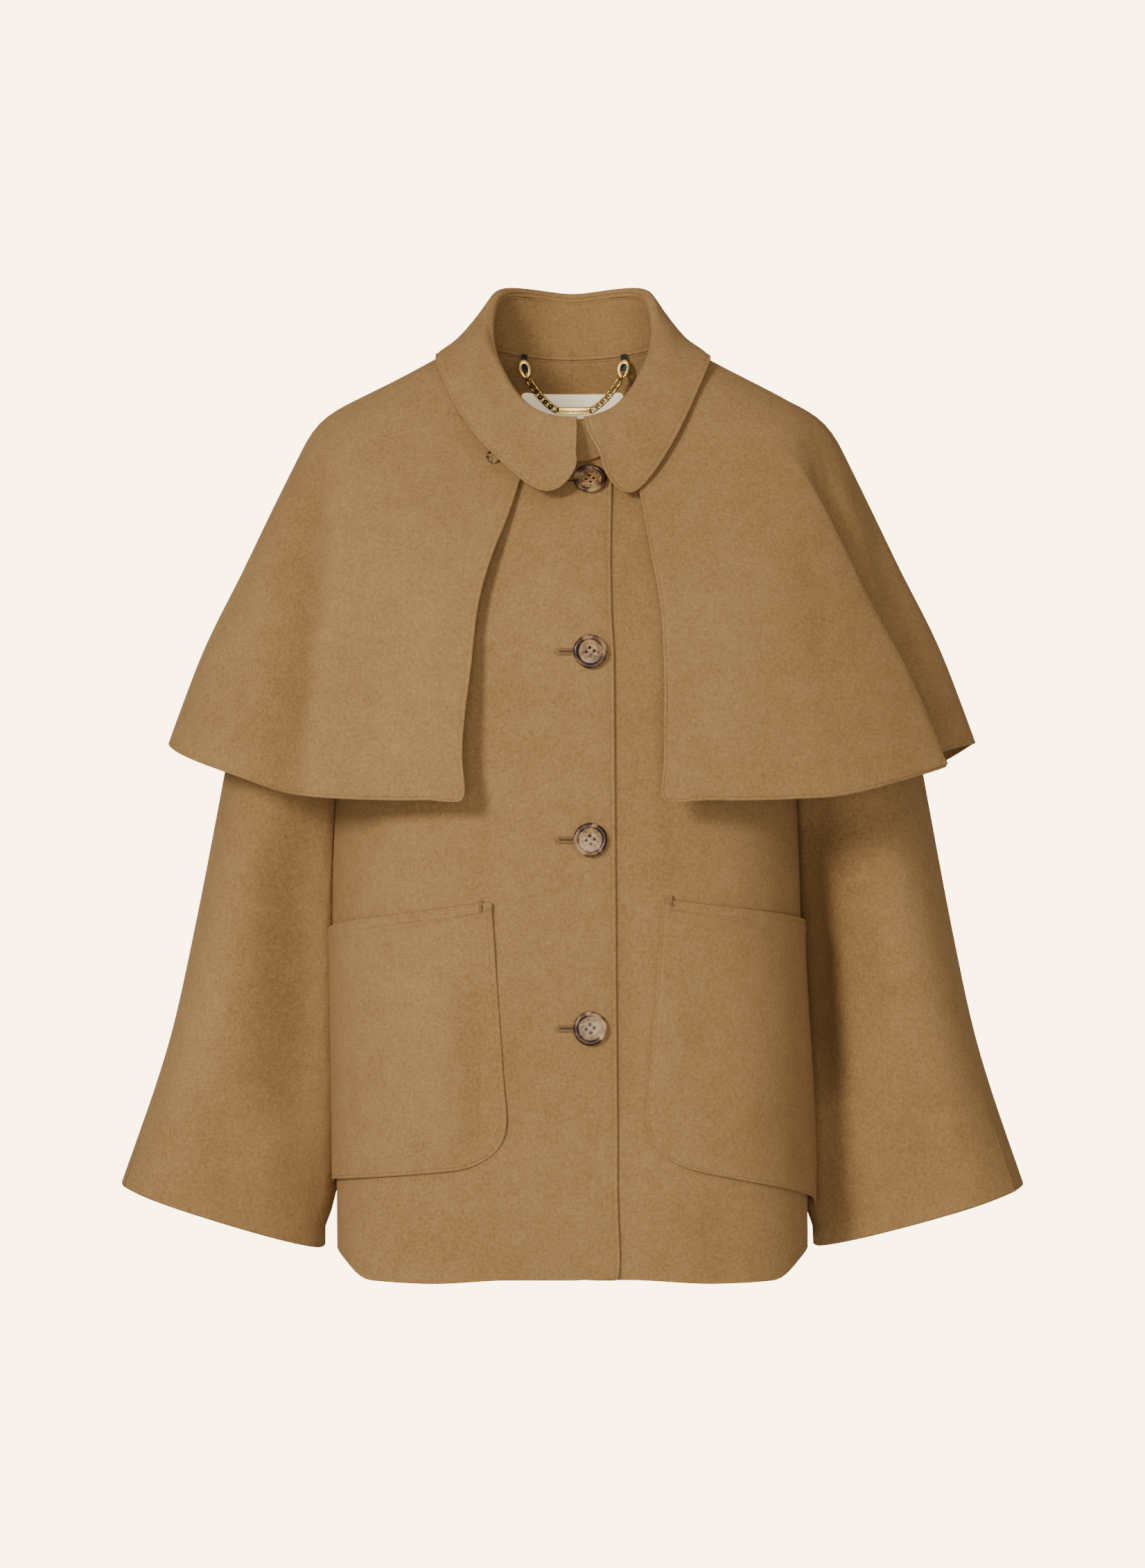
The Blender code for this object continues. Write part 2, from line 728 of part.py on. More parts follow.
def round_neck(turn):
    """The side, the turn on it and the facing of a place that goes once round the neck."""
    side, own = (LEFT, turn) if turn <= pi else (RIGHT, 2 * pi - turn)
    return side, own, FRONT if cos(own) > 0 else BACK


def ridge_point(side, turn):
    """A point on the inside of the collar, at the height of its ridge."""
    depth = RIDGE_DEPTH[FRONT if cos(turn) > 0 else BACK]
    z = row_at(RIDGE, turn * 180 / pi).z
    return Vector((side * RIDGE_HALF_WIDTH * sin(turn), -depth * cos(turn), z))


def stand(u, v):
    """The outer face of the collar stand: u once round from the left end, v from foot to top."""
    place = mix(*STAND_ENDS, u)
    side, turn, facing = round_neck(place)
    out = outward(side, turn)
    foot = neck_point(side, turn if facing == FRONT else pi - turn, facing)
    foot.z += STAND_SEAM
    if side == RIGHT:
        foot += out * STAND_LAP * (1 - ease(*STAND_LAP_TURNS, turn))
        foot.z -= STAND_DROP * (1 - ease(*STAND_DROP_TURNS, turn))
    top = ridge_point(side, turn) + out * WALL
    top.z -= RIDGE_DROP + STAND_TUCK * ease(*STAND_TUCK_TURNS, place)
    under = STAND_UNDER * (1 - ease(*STAND_UNDER_TURNS, place))
    return mix(foot, top, v) - out * under


def leaf(side):
    """The visible face of one leaf of the collar: u from its front end to the centre back, v from
    the seam inside the ridge, over the ridge and down to the edge."""
    table = LEAF[side]

    def surface(u, v):
        start = radians(mix(LEAF_START[side], table[0].turn, ease(FOLD_V, 1, v)))
        turn = mix(start, pi, u)
        edge = row_at(table, mix(table[0].turn, 180, u))
        ridge = ridge_point(side, turn)
        reach = edge.reach - ridge.xy.length
        top_z = ridge.z - RIDGE_ROLL
        heading = atan2(reach - RIDGE_ROLL, edge.z - ridge.z)
        if v < LEG_V:
            out, z = 0, mix(ridge.z - RIDGE_DROP + LEG_SEAM, top_z, v / LEG_V)
        else:
            angle = heading * min((v - LEG_V) / (FOLD_V - LEG_V), 1)
            out, z = RIDGE_ROLL * (1 - cos(angle)), top_z + RIDGE_ROLL * sin(angle)
        if v > FOLD_V:
            share = (v - FOLD_V) / (1 - FOLD_V)
            span = Vector((reach - out, edge.z - z))
            start_pull = Vector((sin(heading), cos(heading))) * span.length
            end_pull = span + Vector((0, -LEAF_DROOP)) * span.length
            out, z = hermite(Vector((out, z)), start_pull, Vector((reach, edge.z)), end_pull, share)
        place = ridge + outward(side, turn) * out
        return Vector((place.x, place.y, z))

    return surface


def fall(u, v):
    """Both leaves in one: u from the left end round the back to the right end."""
    if u <= 0.5:
        return leaf(LEFT)(2 * u, v)
    return leaf(RIGHT)(2 - 2 * u, v)


def make_stand(material):
    """The stand has its columns where the fall has them, so that they meet all round."""
    turns = [mix(LEAF_START[LEFT], 180, 2 * share) for share in COLLAR_SHARES]
    turns += [360 - mix(LEAF_START[RIGHT], 180, 2 * share) for share in COLLAR_SHARES[-2::-1]]
    first, last = STAND_ENDS
    turns = spread(3, first * 180 / pi, turns[0])[:-1] + turns
    turns = sorted(turns + [90, 270])
    turns += spread(4, turns[-1], last * 180 / pi)[1:]
    columns = [(radians(turn) - first) / (last - first) for turn in turns]

    def lean(u, v):
        side, turn, _ = round_neck(mix(first, last, u))
        return outward(side, turn)

    cloth("collar_stand", stand, columns, spread(3), 1, material, lean=lean)


def make_fall(material):
    columns = COLLAR_SHARES + [1 - u for u in COLLAR_SHARES[-2::-1]]
    rows = [0, LEG_V] + spread(3, LEG_V, FOLD_V)[1:] + spread(5, FOLD_V, 1)[1:]
    under = ["front_right", "front_left", "back_right", "back_left"]
    under += ["cape_front_right", "cape_front_left", "cape_back", "button_1"]
    under += ["cape_button_right", "cape_button_left"]
    cloth("collar_fall", fall, columns, rows, -1, material, over=under, over_row=4)


# ---------------------------------------------------------------- cape

def cape_point(side, turn, along):
    """A point of the cape before its folds."""
    row = row_at(CAPE, along)
    facing = FRONT if cos(turn) > 0 else BACK
    depth, low_z = (row.front_depth, row.front_z) if facing == FRONT else (row.back_depth, row.back_z)
    reach = ring_reach(turn, row.half_width, depth, row.roundness)
    rise = mix(*CAPE_SIDE_RISE, ease(*CAPE_SIDE_RISE_PLACE, along))
    z = mix(low_z, row.side_z, abs(sin(turn)) ** rise)
    return Vector((side * reach * sin(turn), -reach * cos(turn), z))


def fold_push(side, turn, along):
    """How far the soft folds move the cape out at a place."""
    push = 0
    for fold in SOFT_FOLDS:
        if fold.side != side:
            continue
        middle = mix(fold.top_turn, fold.hem_turn, along)
        away = (turn * 180 / pi - middle) / fold.width
        push += fold.height * exp(-away ** 2) * ease(fold.start, 1, along)
    return push


def pleat_course(share, heading, run, width):
    """How far along and how far down the cloth of the deep fold is, from its start to its end."""
    bend = PLEAT.bend
    leads = width - 2 * bend * sin(heading) / heading - run * cos(heading)
    parts = [min(max((share - a) / (b - a), 0), 1) for a, b in zip(PLEAT_MARKS, PLEAT_MARKS[1:])]
    along = (parts[0] + parts[4]) * leads / 2 + parts[2] * run * cos(heading)
    along += bend * (sin(heading * parts[1]) + sin(heading) - sin(heading * (1 - parts[3]))) / heading
    down = bend * (1 - cos(heading * parts[1])) / heading + parts[2] * run * sin(heading)
    down += bend * (cos(heading * (1 - parts[3])) - cos(heading)) / heading
    return along, down


def cape(side):
    """One half of the cape: u from its front edge to the centre back, v from neck to hem."""

    def surface(u, v):
        row = row_at(CAPE, v)
        edge = row.right_edge if side == RIGHT else row.left_edge
        start = atan2(edge, row.front_depth)
        turn = mix(start, pi, u)
        back = 0
        heading = PLEAT.heading * ease(PLEAT.start, 1, v)
        if side == LEFT and heading > NEAR:
            middle = mix(PLEAT.top_turn, PLEAT.hem_turn, v)
            place = (turn * 180 / pi - middle) / PLEAT.width
            per_turn = Vector(cape_point(side, radians(middle), v).xy).length
            width = 2 * radians(PLEAT.width) * per_turn
            run = mix(PLEAT.top_run, PLEAT.run, ease(PLEAT.run_start, 1, v))
            share = min(max((place + 1) / 2, 0), 1)
            along, back = pleat_course(share, heading, run, width)
            back *= 1 - ease(1, 1 + PLEAT.recovery / PLEAT.width, place)
            turn += (along - share * width) / per_turn
        base = cape_point(side, turn, v)
        out = Vector((base.x, base.y, 0)).normalized()
        return base + out * (fold_push(side, turn, v) - back)

    return surface


def make_cape(material):
    rows = spread(12)
    under = ["front_right", "front_left", "back_right", "back_left"]
    under += [f"sleeve_{side}_{facing}" for side in ("right", "left") for facing in ("front", "back")]
    for side in (RIGHT, LEFT):
        front = spread(15, 0, CAPE_SEAM_U)
        if side == LEFT:
            front = spread(6, 0, 0.27) + spread(17, 0.27, 0.45)[1:] + spread(3, 0.45, CAPE_SEAM_U)[1:]
        name = f"cape_front_{SIDE_NAME[side]}"
        cloth(name, cape(side), front, rows, -side, material, seams="last", over=under)

    def back(u, v):
        share = 2 * abs(u - 0.5)
        return cape(LEFT if u < 0.5 else RIGHT)(mix(1, CAPE_SEAM_U, share), v)

    cloth("cape_back", back, spread(22), rows, -1, material, seams="first last", over=under)


# ---------------------------------------------------------------- buttons

def turned(profile, steps):
    """A body of revolution about Z, with its profile running from the top to the foot."""
    bm = bmesh.new()
    verts = [bm.verts.new((x, 0, z)) for x, z in profile]
    edges = [bm.edges.new(pair) for pair in zip(verts, verts[1:])]
    bmesh.ops.spin(
        bm, geom=verts + edges, cent=(0, 0, 0), axis=(0, 0, 1), angle=2 * pi, steps=steps,
        use_merge=True, use_duplicate=False,
    )
    bmesh.ops.remove_doubles(bm, verts=bm.verts[:], dist=SEAM / 10)
    bmesh.ops.recalc_face_normals(bm, faces=bm.faces[:])
    return bm


def drilled(bm, holes, radius, depth, sides):
    """The body with straight holes along Z through it."""
    body = bpy.data.objects.new("button_blank", bpy.data.meshes.new("button_blank"))
    bm.to_mesh(body.data)
    bm.free()
    drill_bm = bmesh.new()
    for x, y in holes:
        bmesh.ops.create_cone(
            drill_bm, cap_ends=True, segments=sides, radius1=radius, radius2=radius,
            depth=depth, matrix=Matrix.Translation((x, y, 0)),
        )
    drill = bpy.data.objects.new("button_drill", bpy.data.meshes.new("button_drill"))
    drill_bm.to_mesh(drill.data)
    drill_bm.free()
    for tool in (body, drill):
        bpy.context.scene.collection.objects.link(tool)
    cut = body.modifiers.new("holes", "BOOLEAN")
    cut.operation = "DIFFERENCE"
    cut.solver = "EXACT"
    cut.object = drill
    evaluated = body.evaluated_get(bpy.context.evaluated_depsgraph_get())
    result = bmesh.new()
    result.from_mesh(evaluated.to_mesh())
    for tool in (body, drill):
        bpy.data.objects.remove(tool, do_unlink=True)
    return result


def panel_place(panel, x, z, u, v):
    """The place on a panel that has this x and z, found from a place near it."""
    for _ in range(SEARCH_STEPS):
        here = panel(u, v)
        per_u = (panel(u + NEAR, v) - here) / NEAR
        per_v = (panel(u, v - NEAR) - here) / -NEAR
        short_x, short_z = x - here.x, z - here.z
        size = per_u.x * per_v.z - per_v.x * per_u.z
        u += (short_x * per_v.z - per_v.x * short_z) / size
        v += (per_u.x * short_z - short_x * per_u.z) / size
    return u, v


def on_front(side, x, z):
    """The point and the outward direction on a front, where it has this x and z."""
    panel = PANELS[side, FRONT]
    u, v = FRONT_PLACE, (z - HEM_Z) / (UNDERARM_Z - HEM_Z) * UNDERARM_V
    if z > UNDERARM_Z:
        v = UNDERARM_V + (z - UNDERARM_Z) / (NECK_CENTRE_Z[FRONT] - UNDERARM_Z) * (1 - UNDERARM_V)
    u, v = panel_place(panel, x, z, u, v)
    return panel(u, v), face_direction(panel, u, v) * panel_hand(side, FRONT)


def add_button(name, blank, radius, point, out, below, material):
    """A button with its face outward, let down on the cloth below until it all but touches."""
    turn = out.to_track_quat("Z", "Y").to_matrix()
    low = BUTTON_OFF
    for k in range(BUTTON_SPOTS):
        heading = 2 * pi * k / BUTTON_SPOTS
        for share in HALVES:
            spot = point + turn @ Vector((cos(heading), sin(heading), 0)) * radius * share
            found, facing, _, _ = below.find_nearest(spot)
            low = min(low, (spot - found).dot(facing))
    place = turn.to_4x4()
    place.translation = (point + out * (BUTTON_OFF - min(low, 0))) * MM
    bm = bmesh.new()
    bm.from_mesh(blank)
    bm.transform(place @ Matrix.Scale(MM, 4))
    piece = add_piece(name, bm, material)
    points = [vert.co / MM for vert in piece.data.vertices]
    OUTER_SIDES[name] = points, [list(face.vertices) for face in piece.data.polygons]


def button_blank(shape):
    """A button with four holes, standing on its foot at the origin."""
    hole = shape.hole_circle / sqrt(2)
    holes = [(x, y) for x in (-hole, hole) for y in (-hole, hole)]
    scaled = [(x * shape.radius, z * shape.height) for x, z in BUTTON_PROFILE]
    body = turned(scaled, shape.steps)
    bm = drilled(body, holes, shape.hole_radius, 6 * shape.height, shape.hole_sides)
    mesh = bpy.data.meshes.new("button_blank")
    bm.to_mesh(mesh)
    bm.free()
    return mesh


def make_front_buttons(material):
    blank = button_blank(LARGE_BUTTON)
    below = outer_side(["front_right"])
    for number, z in enumerate(BUTTON_Z, 1):
        point, out = on_front(RIGHT, BUTTON_X, z)
        add_button(f"button_{number}", blank, LARGE_BUTTON.radius, point, out, below, material)


def make_cape_buttons(material):
    blank = button_blank(SMALL_BUTTON)
    below = outer_side(["cape_front_right", "cape_front_left"])
    for side in (RIGHT, LEFT):
        x, z = SMALL_BUTTON_AT[side]
        point, out, _, _ = below.ray_cast(Vector((x, IN_FRONT, z)), Vector((0, 1, 0)))
        name = f"cape_button_{SIDE_NAME[side]}"
        add_button(name, blank, SMALL_BUTTON.radius, point, out, below, material)


# ---------------------------------------------------------------- label and hanger chain

def make_label(material):
    """The label lies inside the back, across its centre seam."""

    def on_back(u, v):
        x, z = mix(-LABEL.half_width, LABEL.half_width, u), mix(LABEL.low_z, LABEL.top_z, v)
        side = LEFT if x >= 0 else RIGHT
        panel = PANELS[side, BACK]
        across, along = panel_place(panel, x, z, *LABEL_PLACE)
        out = face_direction(panel, max(across, NEAR), along) * panel_hand(side, BACK)
        return panel(across, along) - out * (WALL + LABEL_SEAT + LABEL.wall)

    cloth("label", on_back, spread(8), spread(4), 1, material, wall=LABEL.wall)


def wire_loop(name, matrix, length, width, wire, points, material, sides=5):
    """A closed loop of round wire, long in X and flat in XY."""
    bm = bmesh.new()
    bmesh.ops.create_circle(bm, segments=sides, radius=wire / 2, matrix=Matrix.Rotation(pi / 2, 4, "X"))
    bmesh.ops.translate(bm, verts=bm.verts[:], vec=(1, 0, 0))
    bmesh.ops.spin(
        bm, geom=bm.verts[:] + bm.edges[:], cent=(0, 0, 0), axis=(0, 0, 1), angle=2 * pi,
        steps=points, use_merge=True, use_duplicate=False,
    )
    bmesh.ops.remove_doubles(bm, verts=bm.verts[:], dist=SEAM / 100)
    straight = (length - width) / 2
    bend = (width - wire) / 2
    for vert in bm.verts:
        turn = atan2(vert.co.y, vert.co.x)
        reach = bend + Vector((vert.co.x, vert.co.y)).length - 1
        shift = straight * max(-1, min(1, LINK_STRAIGHT * cos(turn)))
        vert.co = Vector((shift + reach * cos(turn), reach * sin(turn), vert.co.z))
    bmesh.ops.recalc_face_normals(bm, faces=bm.faces[:])
    bm.transform(Matrix.Scale(MM, 4) @ matrix)
    return add_piece(name, bm, material)


def plate_with_holes(name, outline, holes, thickness, matrix, material):
    """A flat plate cut with holes, thick about its own XY plane."""
    curve = bpy.data.curves.new(name, "CURVE")
    curve.dimensions = "2D"
    curve.fill_mode = "BOTH"
    curve.extrude = thickness / 2
    for loop in [outline] + holes:
        spline = curve.splines.new("POLY")
        spline.points.add(len(loop) - 1)
        for point, (x, y) in zip(spline.points, loop):
            point.co = (x, y, 0, 1)
        spline.use_cyclic_u = True
    flat = bpy.data.objects.new(name, curve)
    bpy.context.scene.collection.objects.link(flat)
    bm = bmesh.new()
    bm.from_mesh(flat.evaluated_get(bpy.context.evaluated_depsgraph_get()).to_mesh())
    bpy.data.objects.remove(flat, do_unlink=True)
    bmesh.ops.remove_doubles(bm, verts=bm.verts[:], dist=SEAM / 10)
    bmesh.ops.recalc_face_normals(bm, faces=bm.faces[:])
    bm.transform(Matrix.Scale(MM, 4) @ matrix)
    return add_piece(name, bm, material)


def oval(half_length, half_width, points, centre=(0, 0)):
    turns = [2 * pi * k / points for k in range(points)]
    return [
        (centre[0] + half_length * cos(turn), centre[1] + half_width * sin(turn)) for turn in turns
    ]


def standing(x, z, heading, roll=0.0):
    """A matrix with local X along the heading in the plane of the chain, and local Z towards Y."""
    along = Vector((heading.x, 0, heading.z)).normalized()
    through = Vector((0, 1, 0))
    across = through.cross(along)
    turn = Matrix((along, across, through)).transposed().to_4x4()
    return Matrix.Translation((x, HINGE.y, z)) @ turn @ Matrix.Rotation(roll, 4, "X")


def chain_side(side):
    """The places and headings of the loops of one side, from its top ring to the bar."""
    start = Vector((HINGE.x + side * CHAIN_HALF_SPAN, 0, HINGE.z))
    end = Vector((HINGE.x + side * BAR_HOLE_X, 0, BAR_Z))
    chord = end - start
    lean = Vector((0, 0, -CHAIN_SAG))
    course = [
        hermite(start, chord + lean, end, chord - lean, k / 200) for k in range(201)
    ]
    gone = [0.0]
    for a, b in zip(course, course[1:]):
        gone.append(gone[-1] + (b - a).length)
    steps = [0.0, TOP_RING_PITCH] + [LINK_PITCH] * (LINKS - 1)
    total = sum(steps) + LINK_END
    places = []
    along = 0.0
    for step in steps:
        along += step
        want = along / total * gone[-1]
        k = min(range(200), key=lambda n: abs(gone[n] - want))
        places.append((course[k], course[k + 1] - course[k]))
    return places


def add_tab(word, x, material):
    """A ribbon tab: it hangs from the inside of the stand and passes behind its flat ring."""

    def hanging(u, v):
        across = x + (u - 0.5) * TAB.width
        turn = asin(abs(across) / NECK_HALF_WIDTH)
        seat = NECK_DEPTH[BACK] * cos(turn) + SHOULDER_Y * sin(turn) ** 2
        seat -= WALL / cos(turn) + TAB.seat + TAB.wall
        y = mix(HINGE.y + TAB.behind, seat, ease(*TAB_LEAN, v))
        return Vector((across, y, mix(TAB.low_z, TAB.top_z, v)))

    cloth(f"tab_{word}", hanging, spread(2), spread(5), 1, material, wall=TAB.wall)


def make_chain(brass, ribbon):
    hanger = bpy.data.objects.new("hanger_chain", None)
    hanger.location = HINGE * MM
    GARMENT.objects.link(hanger)
    moving = []
    for side in (RIGHT, LEFT):
        word = SIDE_NAME[side]
        anchor = Vector((HINGE.x + side * CHAIN_HALF_SPAN, HINGE.y, HINGE.z))
        axis = Vector((-side * sin(RING_TILT), 0, -cos(RING_TILT)))
        centre = anchor - axis * RING_ABOVE_HINGE
        outline = oval(RING.length / 2, RING.width / 2, RING_POINTS)
        hole = oval(RING.hole_length / 2, RING.hole_width / 2, HOLE_POINTS)
        matrix = standing(centre.x, centre.z, axis)
        plate_with_holes(f"flat_ring_{word}", outline, [hole], RING.thickness, matrix, brass)
        add_tab(word, centre.x, ribbon)
        for number, (point, heading) in enumerate(chain_side(side)):
            if number == 0:
                matrix = standing(point.x, point.z, heading, pi / 2)
                loop = wire_loop(
                    f"top_ring_{word}", matrix, TOP_RING_SIZE, TOP_RING_SIZE, LINK.wire,
                    LOOP_POINTS, brass,
                )
            else:
                matrix = standing(point.x, point.z, heading, radians(LINK_ROLL[number % 2]))
                loop = wire_loop(
                    f"link_{word}_{number}", matrix, LINK.length, LINK.width, LINK.wire,
                    LOOP_POINTS, brass,
                )
            moving.append(loop)
    half = BAR.length / 2
    low, high = -BAR.width / 2, BAR.width / 2
    outline = [(-half, low), (half, low), (half, high), (-half, high)]
    holes = [oval(BAR.hole / 2, BAR.hole / 2, LOOP_POINTS, (x, 0)) for x in (-BAR_HOLE_X, BAR_HOLE_X)]
    matrix = standing(HINGE.x, BAR_Z, Vector((1, 0, 0)))
    moving.append(plate_with_holes("chain_bar", outline, holes, BAR.thickness, matrix, brass))
    for loop in moving:
        loop.data.transform(Matrix.Translation(-HINGE * MM))
        loop.parent = hanger


# ---------------------------------------------------------------- build

for old in list(bpy.data.objects):
    bpy.data.objects.remove(old, do_unlink=True)

GARMENT = bpy.data.collections.new("cape_jacket")
bpy.context.scene.collection.children.link(GARMENT)

CLOTH = finish("felted_wool", (0.38, 0.23, 0.10), 0.9)

HORN = finish("horn", (0.16, 0.07, 0.03), 0.3)
BRASS = finish("pale_gold_metal", (0.72, 0.55, 0.28), 0.3, 1.0)
IVORY = finish("ivory_satin", (0.86, 0.82, 0.74), 0.6)
RIBBON = finish("black_ribbon", (0.02, 0.02, 0.02), 0.8)

make_body(CLOTH)
make_stand(CLOTH)
make_sleeves(CLOTH)
make_pockets(CLOTH)
make_cape(CLOTH)
make_front_buttons(HORN)
make_cape_buttons(HORN)
make_fall(CLOTH)
make_label(IVORY)
make_chain(BRASS, RIBBON)
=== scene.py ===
"""Looks of the cape jacket: felted wool, horn buttons, sewing, the label and the hanger chain."""
import math

import bmesh
import bpy
import numpy as np
from mathutils import Matrix, Vector
from mathutils.bvhtree import BVHTree
from mathutils.kdtree import KDTree


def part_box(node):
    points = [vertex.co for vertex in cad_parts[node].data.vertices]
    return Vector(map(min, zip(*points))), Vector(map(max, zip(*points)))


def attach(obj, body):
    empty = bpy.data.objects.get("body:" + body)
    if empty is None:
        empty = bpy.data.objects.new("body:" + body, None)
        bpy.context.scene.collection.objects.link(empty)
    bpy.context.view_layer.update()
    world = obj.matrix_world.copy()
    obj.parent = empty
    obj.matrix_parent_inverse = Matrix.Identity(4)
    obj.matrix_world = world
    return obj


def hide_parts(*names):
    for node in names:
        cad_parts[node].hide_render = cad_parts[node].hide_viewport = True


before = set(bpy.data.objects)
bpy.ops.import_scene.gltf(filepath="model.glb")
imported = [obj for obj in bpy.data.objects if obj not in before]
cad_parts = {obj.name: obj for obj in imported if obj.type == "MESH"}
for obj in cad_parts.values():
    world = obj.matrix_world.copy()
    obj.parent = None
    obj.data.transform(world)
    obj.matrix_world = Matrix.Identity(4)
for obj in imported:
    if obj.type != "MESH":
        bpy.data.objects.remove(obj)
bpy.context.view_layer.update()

MM = 0.001
PIXEL = 0.54 * MM
PICTURE = (1652, 2262)
CENTRE = (826, 1130)
EYE = Vector((0, -3.0, -0.3321))
SAME_PLACE = 1e-5

# ------------------------------------ the cloth

# piece: the CAD solids it stands for, each sewn to the next, side lengths of the cut in metres
# (width, length), its area in square metres, how it is held, and what it hangs from or lies on
CUTS = {
    "body_cloth": (
        ("front_right", "back_right", "back_left", "front_left"),
        (1.070, 0.715), 0.710, "hung", ("collar_stand_cloth",),
    ),
    "sleeve_right_cloth": (
        ("sleeve_right_front", "sleeve_right_back"),
        (0.424, 0.640), 0.207, "hung", ("body_cloth",),
    ),
    "sleeve_left_cloth": (
        ("sleeve_left_front", "sleeve_left_back"),
        (0.430, 0.640), 0.210, "hung", ("body_cloth",),
    ),
    "cape_cloth": (
        ("cape_front_right", "cape_back", "cape_front_left"),
        (1.240, 0.400), 0.400, "draped", ("body_cloth", "sleeve_right_cloth", "sleeve_left_cloth"),
    ),
    "collar_stand_cloth": (("collar_stand",), (0.370, 0.046), 0.0149, "folded", ("body_cloth",)),
    "collar_fall_cloth": (
        ("collar_fall",), (0.470, 0.105), 0.0379, "folded", ("collar_stand_cloth",),
    ),
    "pocket_right_cloth": (("pocket_right",), (0.205, 0.242), 0.0445, "stretched", ("body_cloth",)),
    "pocket_left_cloth": (("pocket_left",), (0.208, 0.248), 0.0452, "stretched", ("body_cloth",)),
}

SEAM_REACH = 1.0 * MM
SEAM_WIDTH = 2.2 * MM
SEAM_SINK = 0.5 * MM
EDGE_BAND = 2.4 * MM
BESIDE_BAND = 1.8 * MM
EDGE_SINK = 0.45 * MM
SEAM_NEAR = 0.3 * MM
THICKEST = 4.2 * MM
RIM_STARTS = 8
HOLDING_ROUNDS = 3
WOOL_ROUNDS = 2

# troughs and ridges, in the picture's pixels, as lines seen from the front: where the line
# starts and ends, how wide it is, and how far the cloth goes in (+) or out (-) in millimetres
# each line's depth also sets the painted shade of the wool in a trough and the painted light on a
# ridge
SOFT_LINES = {
    "sleeve_right_cloth": (
        (415, 1150, 408, 1640, 54, 11.0),
        (322, 1180, 262, 1640, 46, -2.5),
        (476, 1120, 472, 1800, 28, -12.0),
        (300, 1560, 330, 1760, 40, 3.0),
    ),
    "sleeve_left_cloth": (
        (1222, 1150, 1262, 1500, 34, 4.5),
        (1178, 1150, 1190, 1600, 32, 18.0),
        (1300, 1180, 1382, 1640, 46, -2.5),
        (1330, 1560, 1310, 1760, 40, 2.5),
    ),
    "body_cloth": (
        (498, 1180, 492, 1330, 26, 2.5),
        (610, 1165, 575, 1330, 56, -2.0),
        (700, 1180, 668, 1300, 40, 1.6),
        (985, 1165, 945, 1300, 36, 2.2),
        (1085, 1170, 1075, 1310, 46, -1.8),
        (760, 1380, 742, 1700, 30, 1.4),
        (900, 1350, 912, 1640, 26, 1.4),
        (560, 1715, 600, 1840, 48, 2.2),
        (1010, 1730, 1060, 1845, 52, 2.4),
        (720, 760, 738, 1120, 40, 1.5),
        (915, 760, 925, 1140, 34, 1.5),
    ),
    "cape_cloth": (
        (452, 640, 394, 1230, 38, 8.5),
        (500, 640, 436, 1230, 22, -4.0),
        (620, 800, 590, 1150, 60, -2.0),
        (1050, 800, 1090, 1150, 70, -2.0),
        (1150, 760, 1230, 1130, 34, 2.2),
        (350, 800, 320, 1110, 36, 1.8),
        (590, 620, 540, 760, 44, 1.4),
        (1080, 620, 1130, 770, 44, 1.4),
    ),
    "collar_fall_cloth": (
        (735, 590, 805, 690, 20, 1.2),
        (880, 585, 882, 640, 7, 0.9),
        (955, 550, 950, 650, 20, 1.3),
        (690, 500, 690, 600, 24, -0.8),
    ),
    "pocket_right_cloth": (
        (600, 1390, 634, 1670, 44, -3.0),
        (686, 1380, 702, 1700, 34, 3.6),
    ),
    "pocket_left_cloth": (
        (1085, 1380, 1112, 1640, 60, -1.8),
        (975, 1400, 965, 1600, 26, -1.0),
    ),
}

# painted shade: how much darker the wool is coloured in a trough, and lighter on a ridge, for each
# millimetre of its depth
CREASE_PAINTED_SHADE = 0.028

# the sleeves rest on the body over gaps of this width, wholly so above the upper level
PRESS_REACH = 17.0 * MM
PRESS_WHOLE = 0.5
PRESS_LEVELS = (-0.680, -0.655)

# how far the hem's corners turn up and how far it drops beside them, and how far from its
# middle each of the two sets in
HEM_MIDDLE = -0.5 * MM
HEM_BAND = 0.050
HEM_CORNER = 13.0 * MM
HEM_CORNER_AT = (0.150, 0.182)
HEM_CORNER_CURVE = 1.6
HEM_DROP = 3.5 * MM
HEM_DROP_AT = (0.045, 0.110)
HEM_DROP_ENDS = (0.150, 0.172)

# the closed throat: how far it reaches up, where, and the levels over which it sets in
THROAT_RISE = 6.5 * MM
THROAT_MIDDLE = 3 * MM
THROAT_HALF_WIDTH = 15 * MM
THROAT_LEVELS = (-0.085, -0.062)


def third(face, first, second):
    """The corner of a triangle that isn't on the edge between two of its corners."""
    return next(vert for vert in face.verts if vert not in (first, second))


def edge_between(edges, first, second):
    """The edge that joins two corners."""
    return next(edge for edge in edges if first in edge.verts and second in edge.verts)


def across(edge, face):
    """The other face of an edge."""
    return next(other for other in edge.link_faces if other != face)


def corner_rungs(shell):
    """The short edges across the wall at a shell's sharpest corners."""
    around = {
        vert: sum(loop.calc_angle() for loop in vert.link_loops)
        for vert in shell.verts
    }
    rungs = [edge for edge in shell.edges if edge.calc_length() < THICKEST]
    return sorted(rungs, key=lambda edge: sum(around[vert] for vert in edge.verts))[:RIM_STARTS]


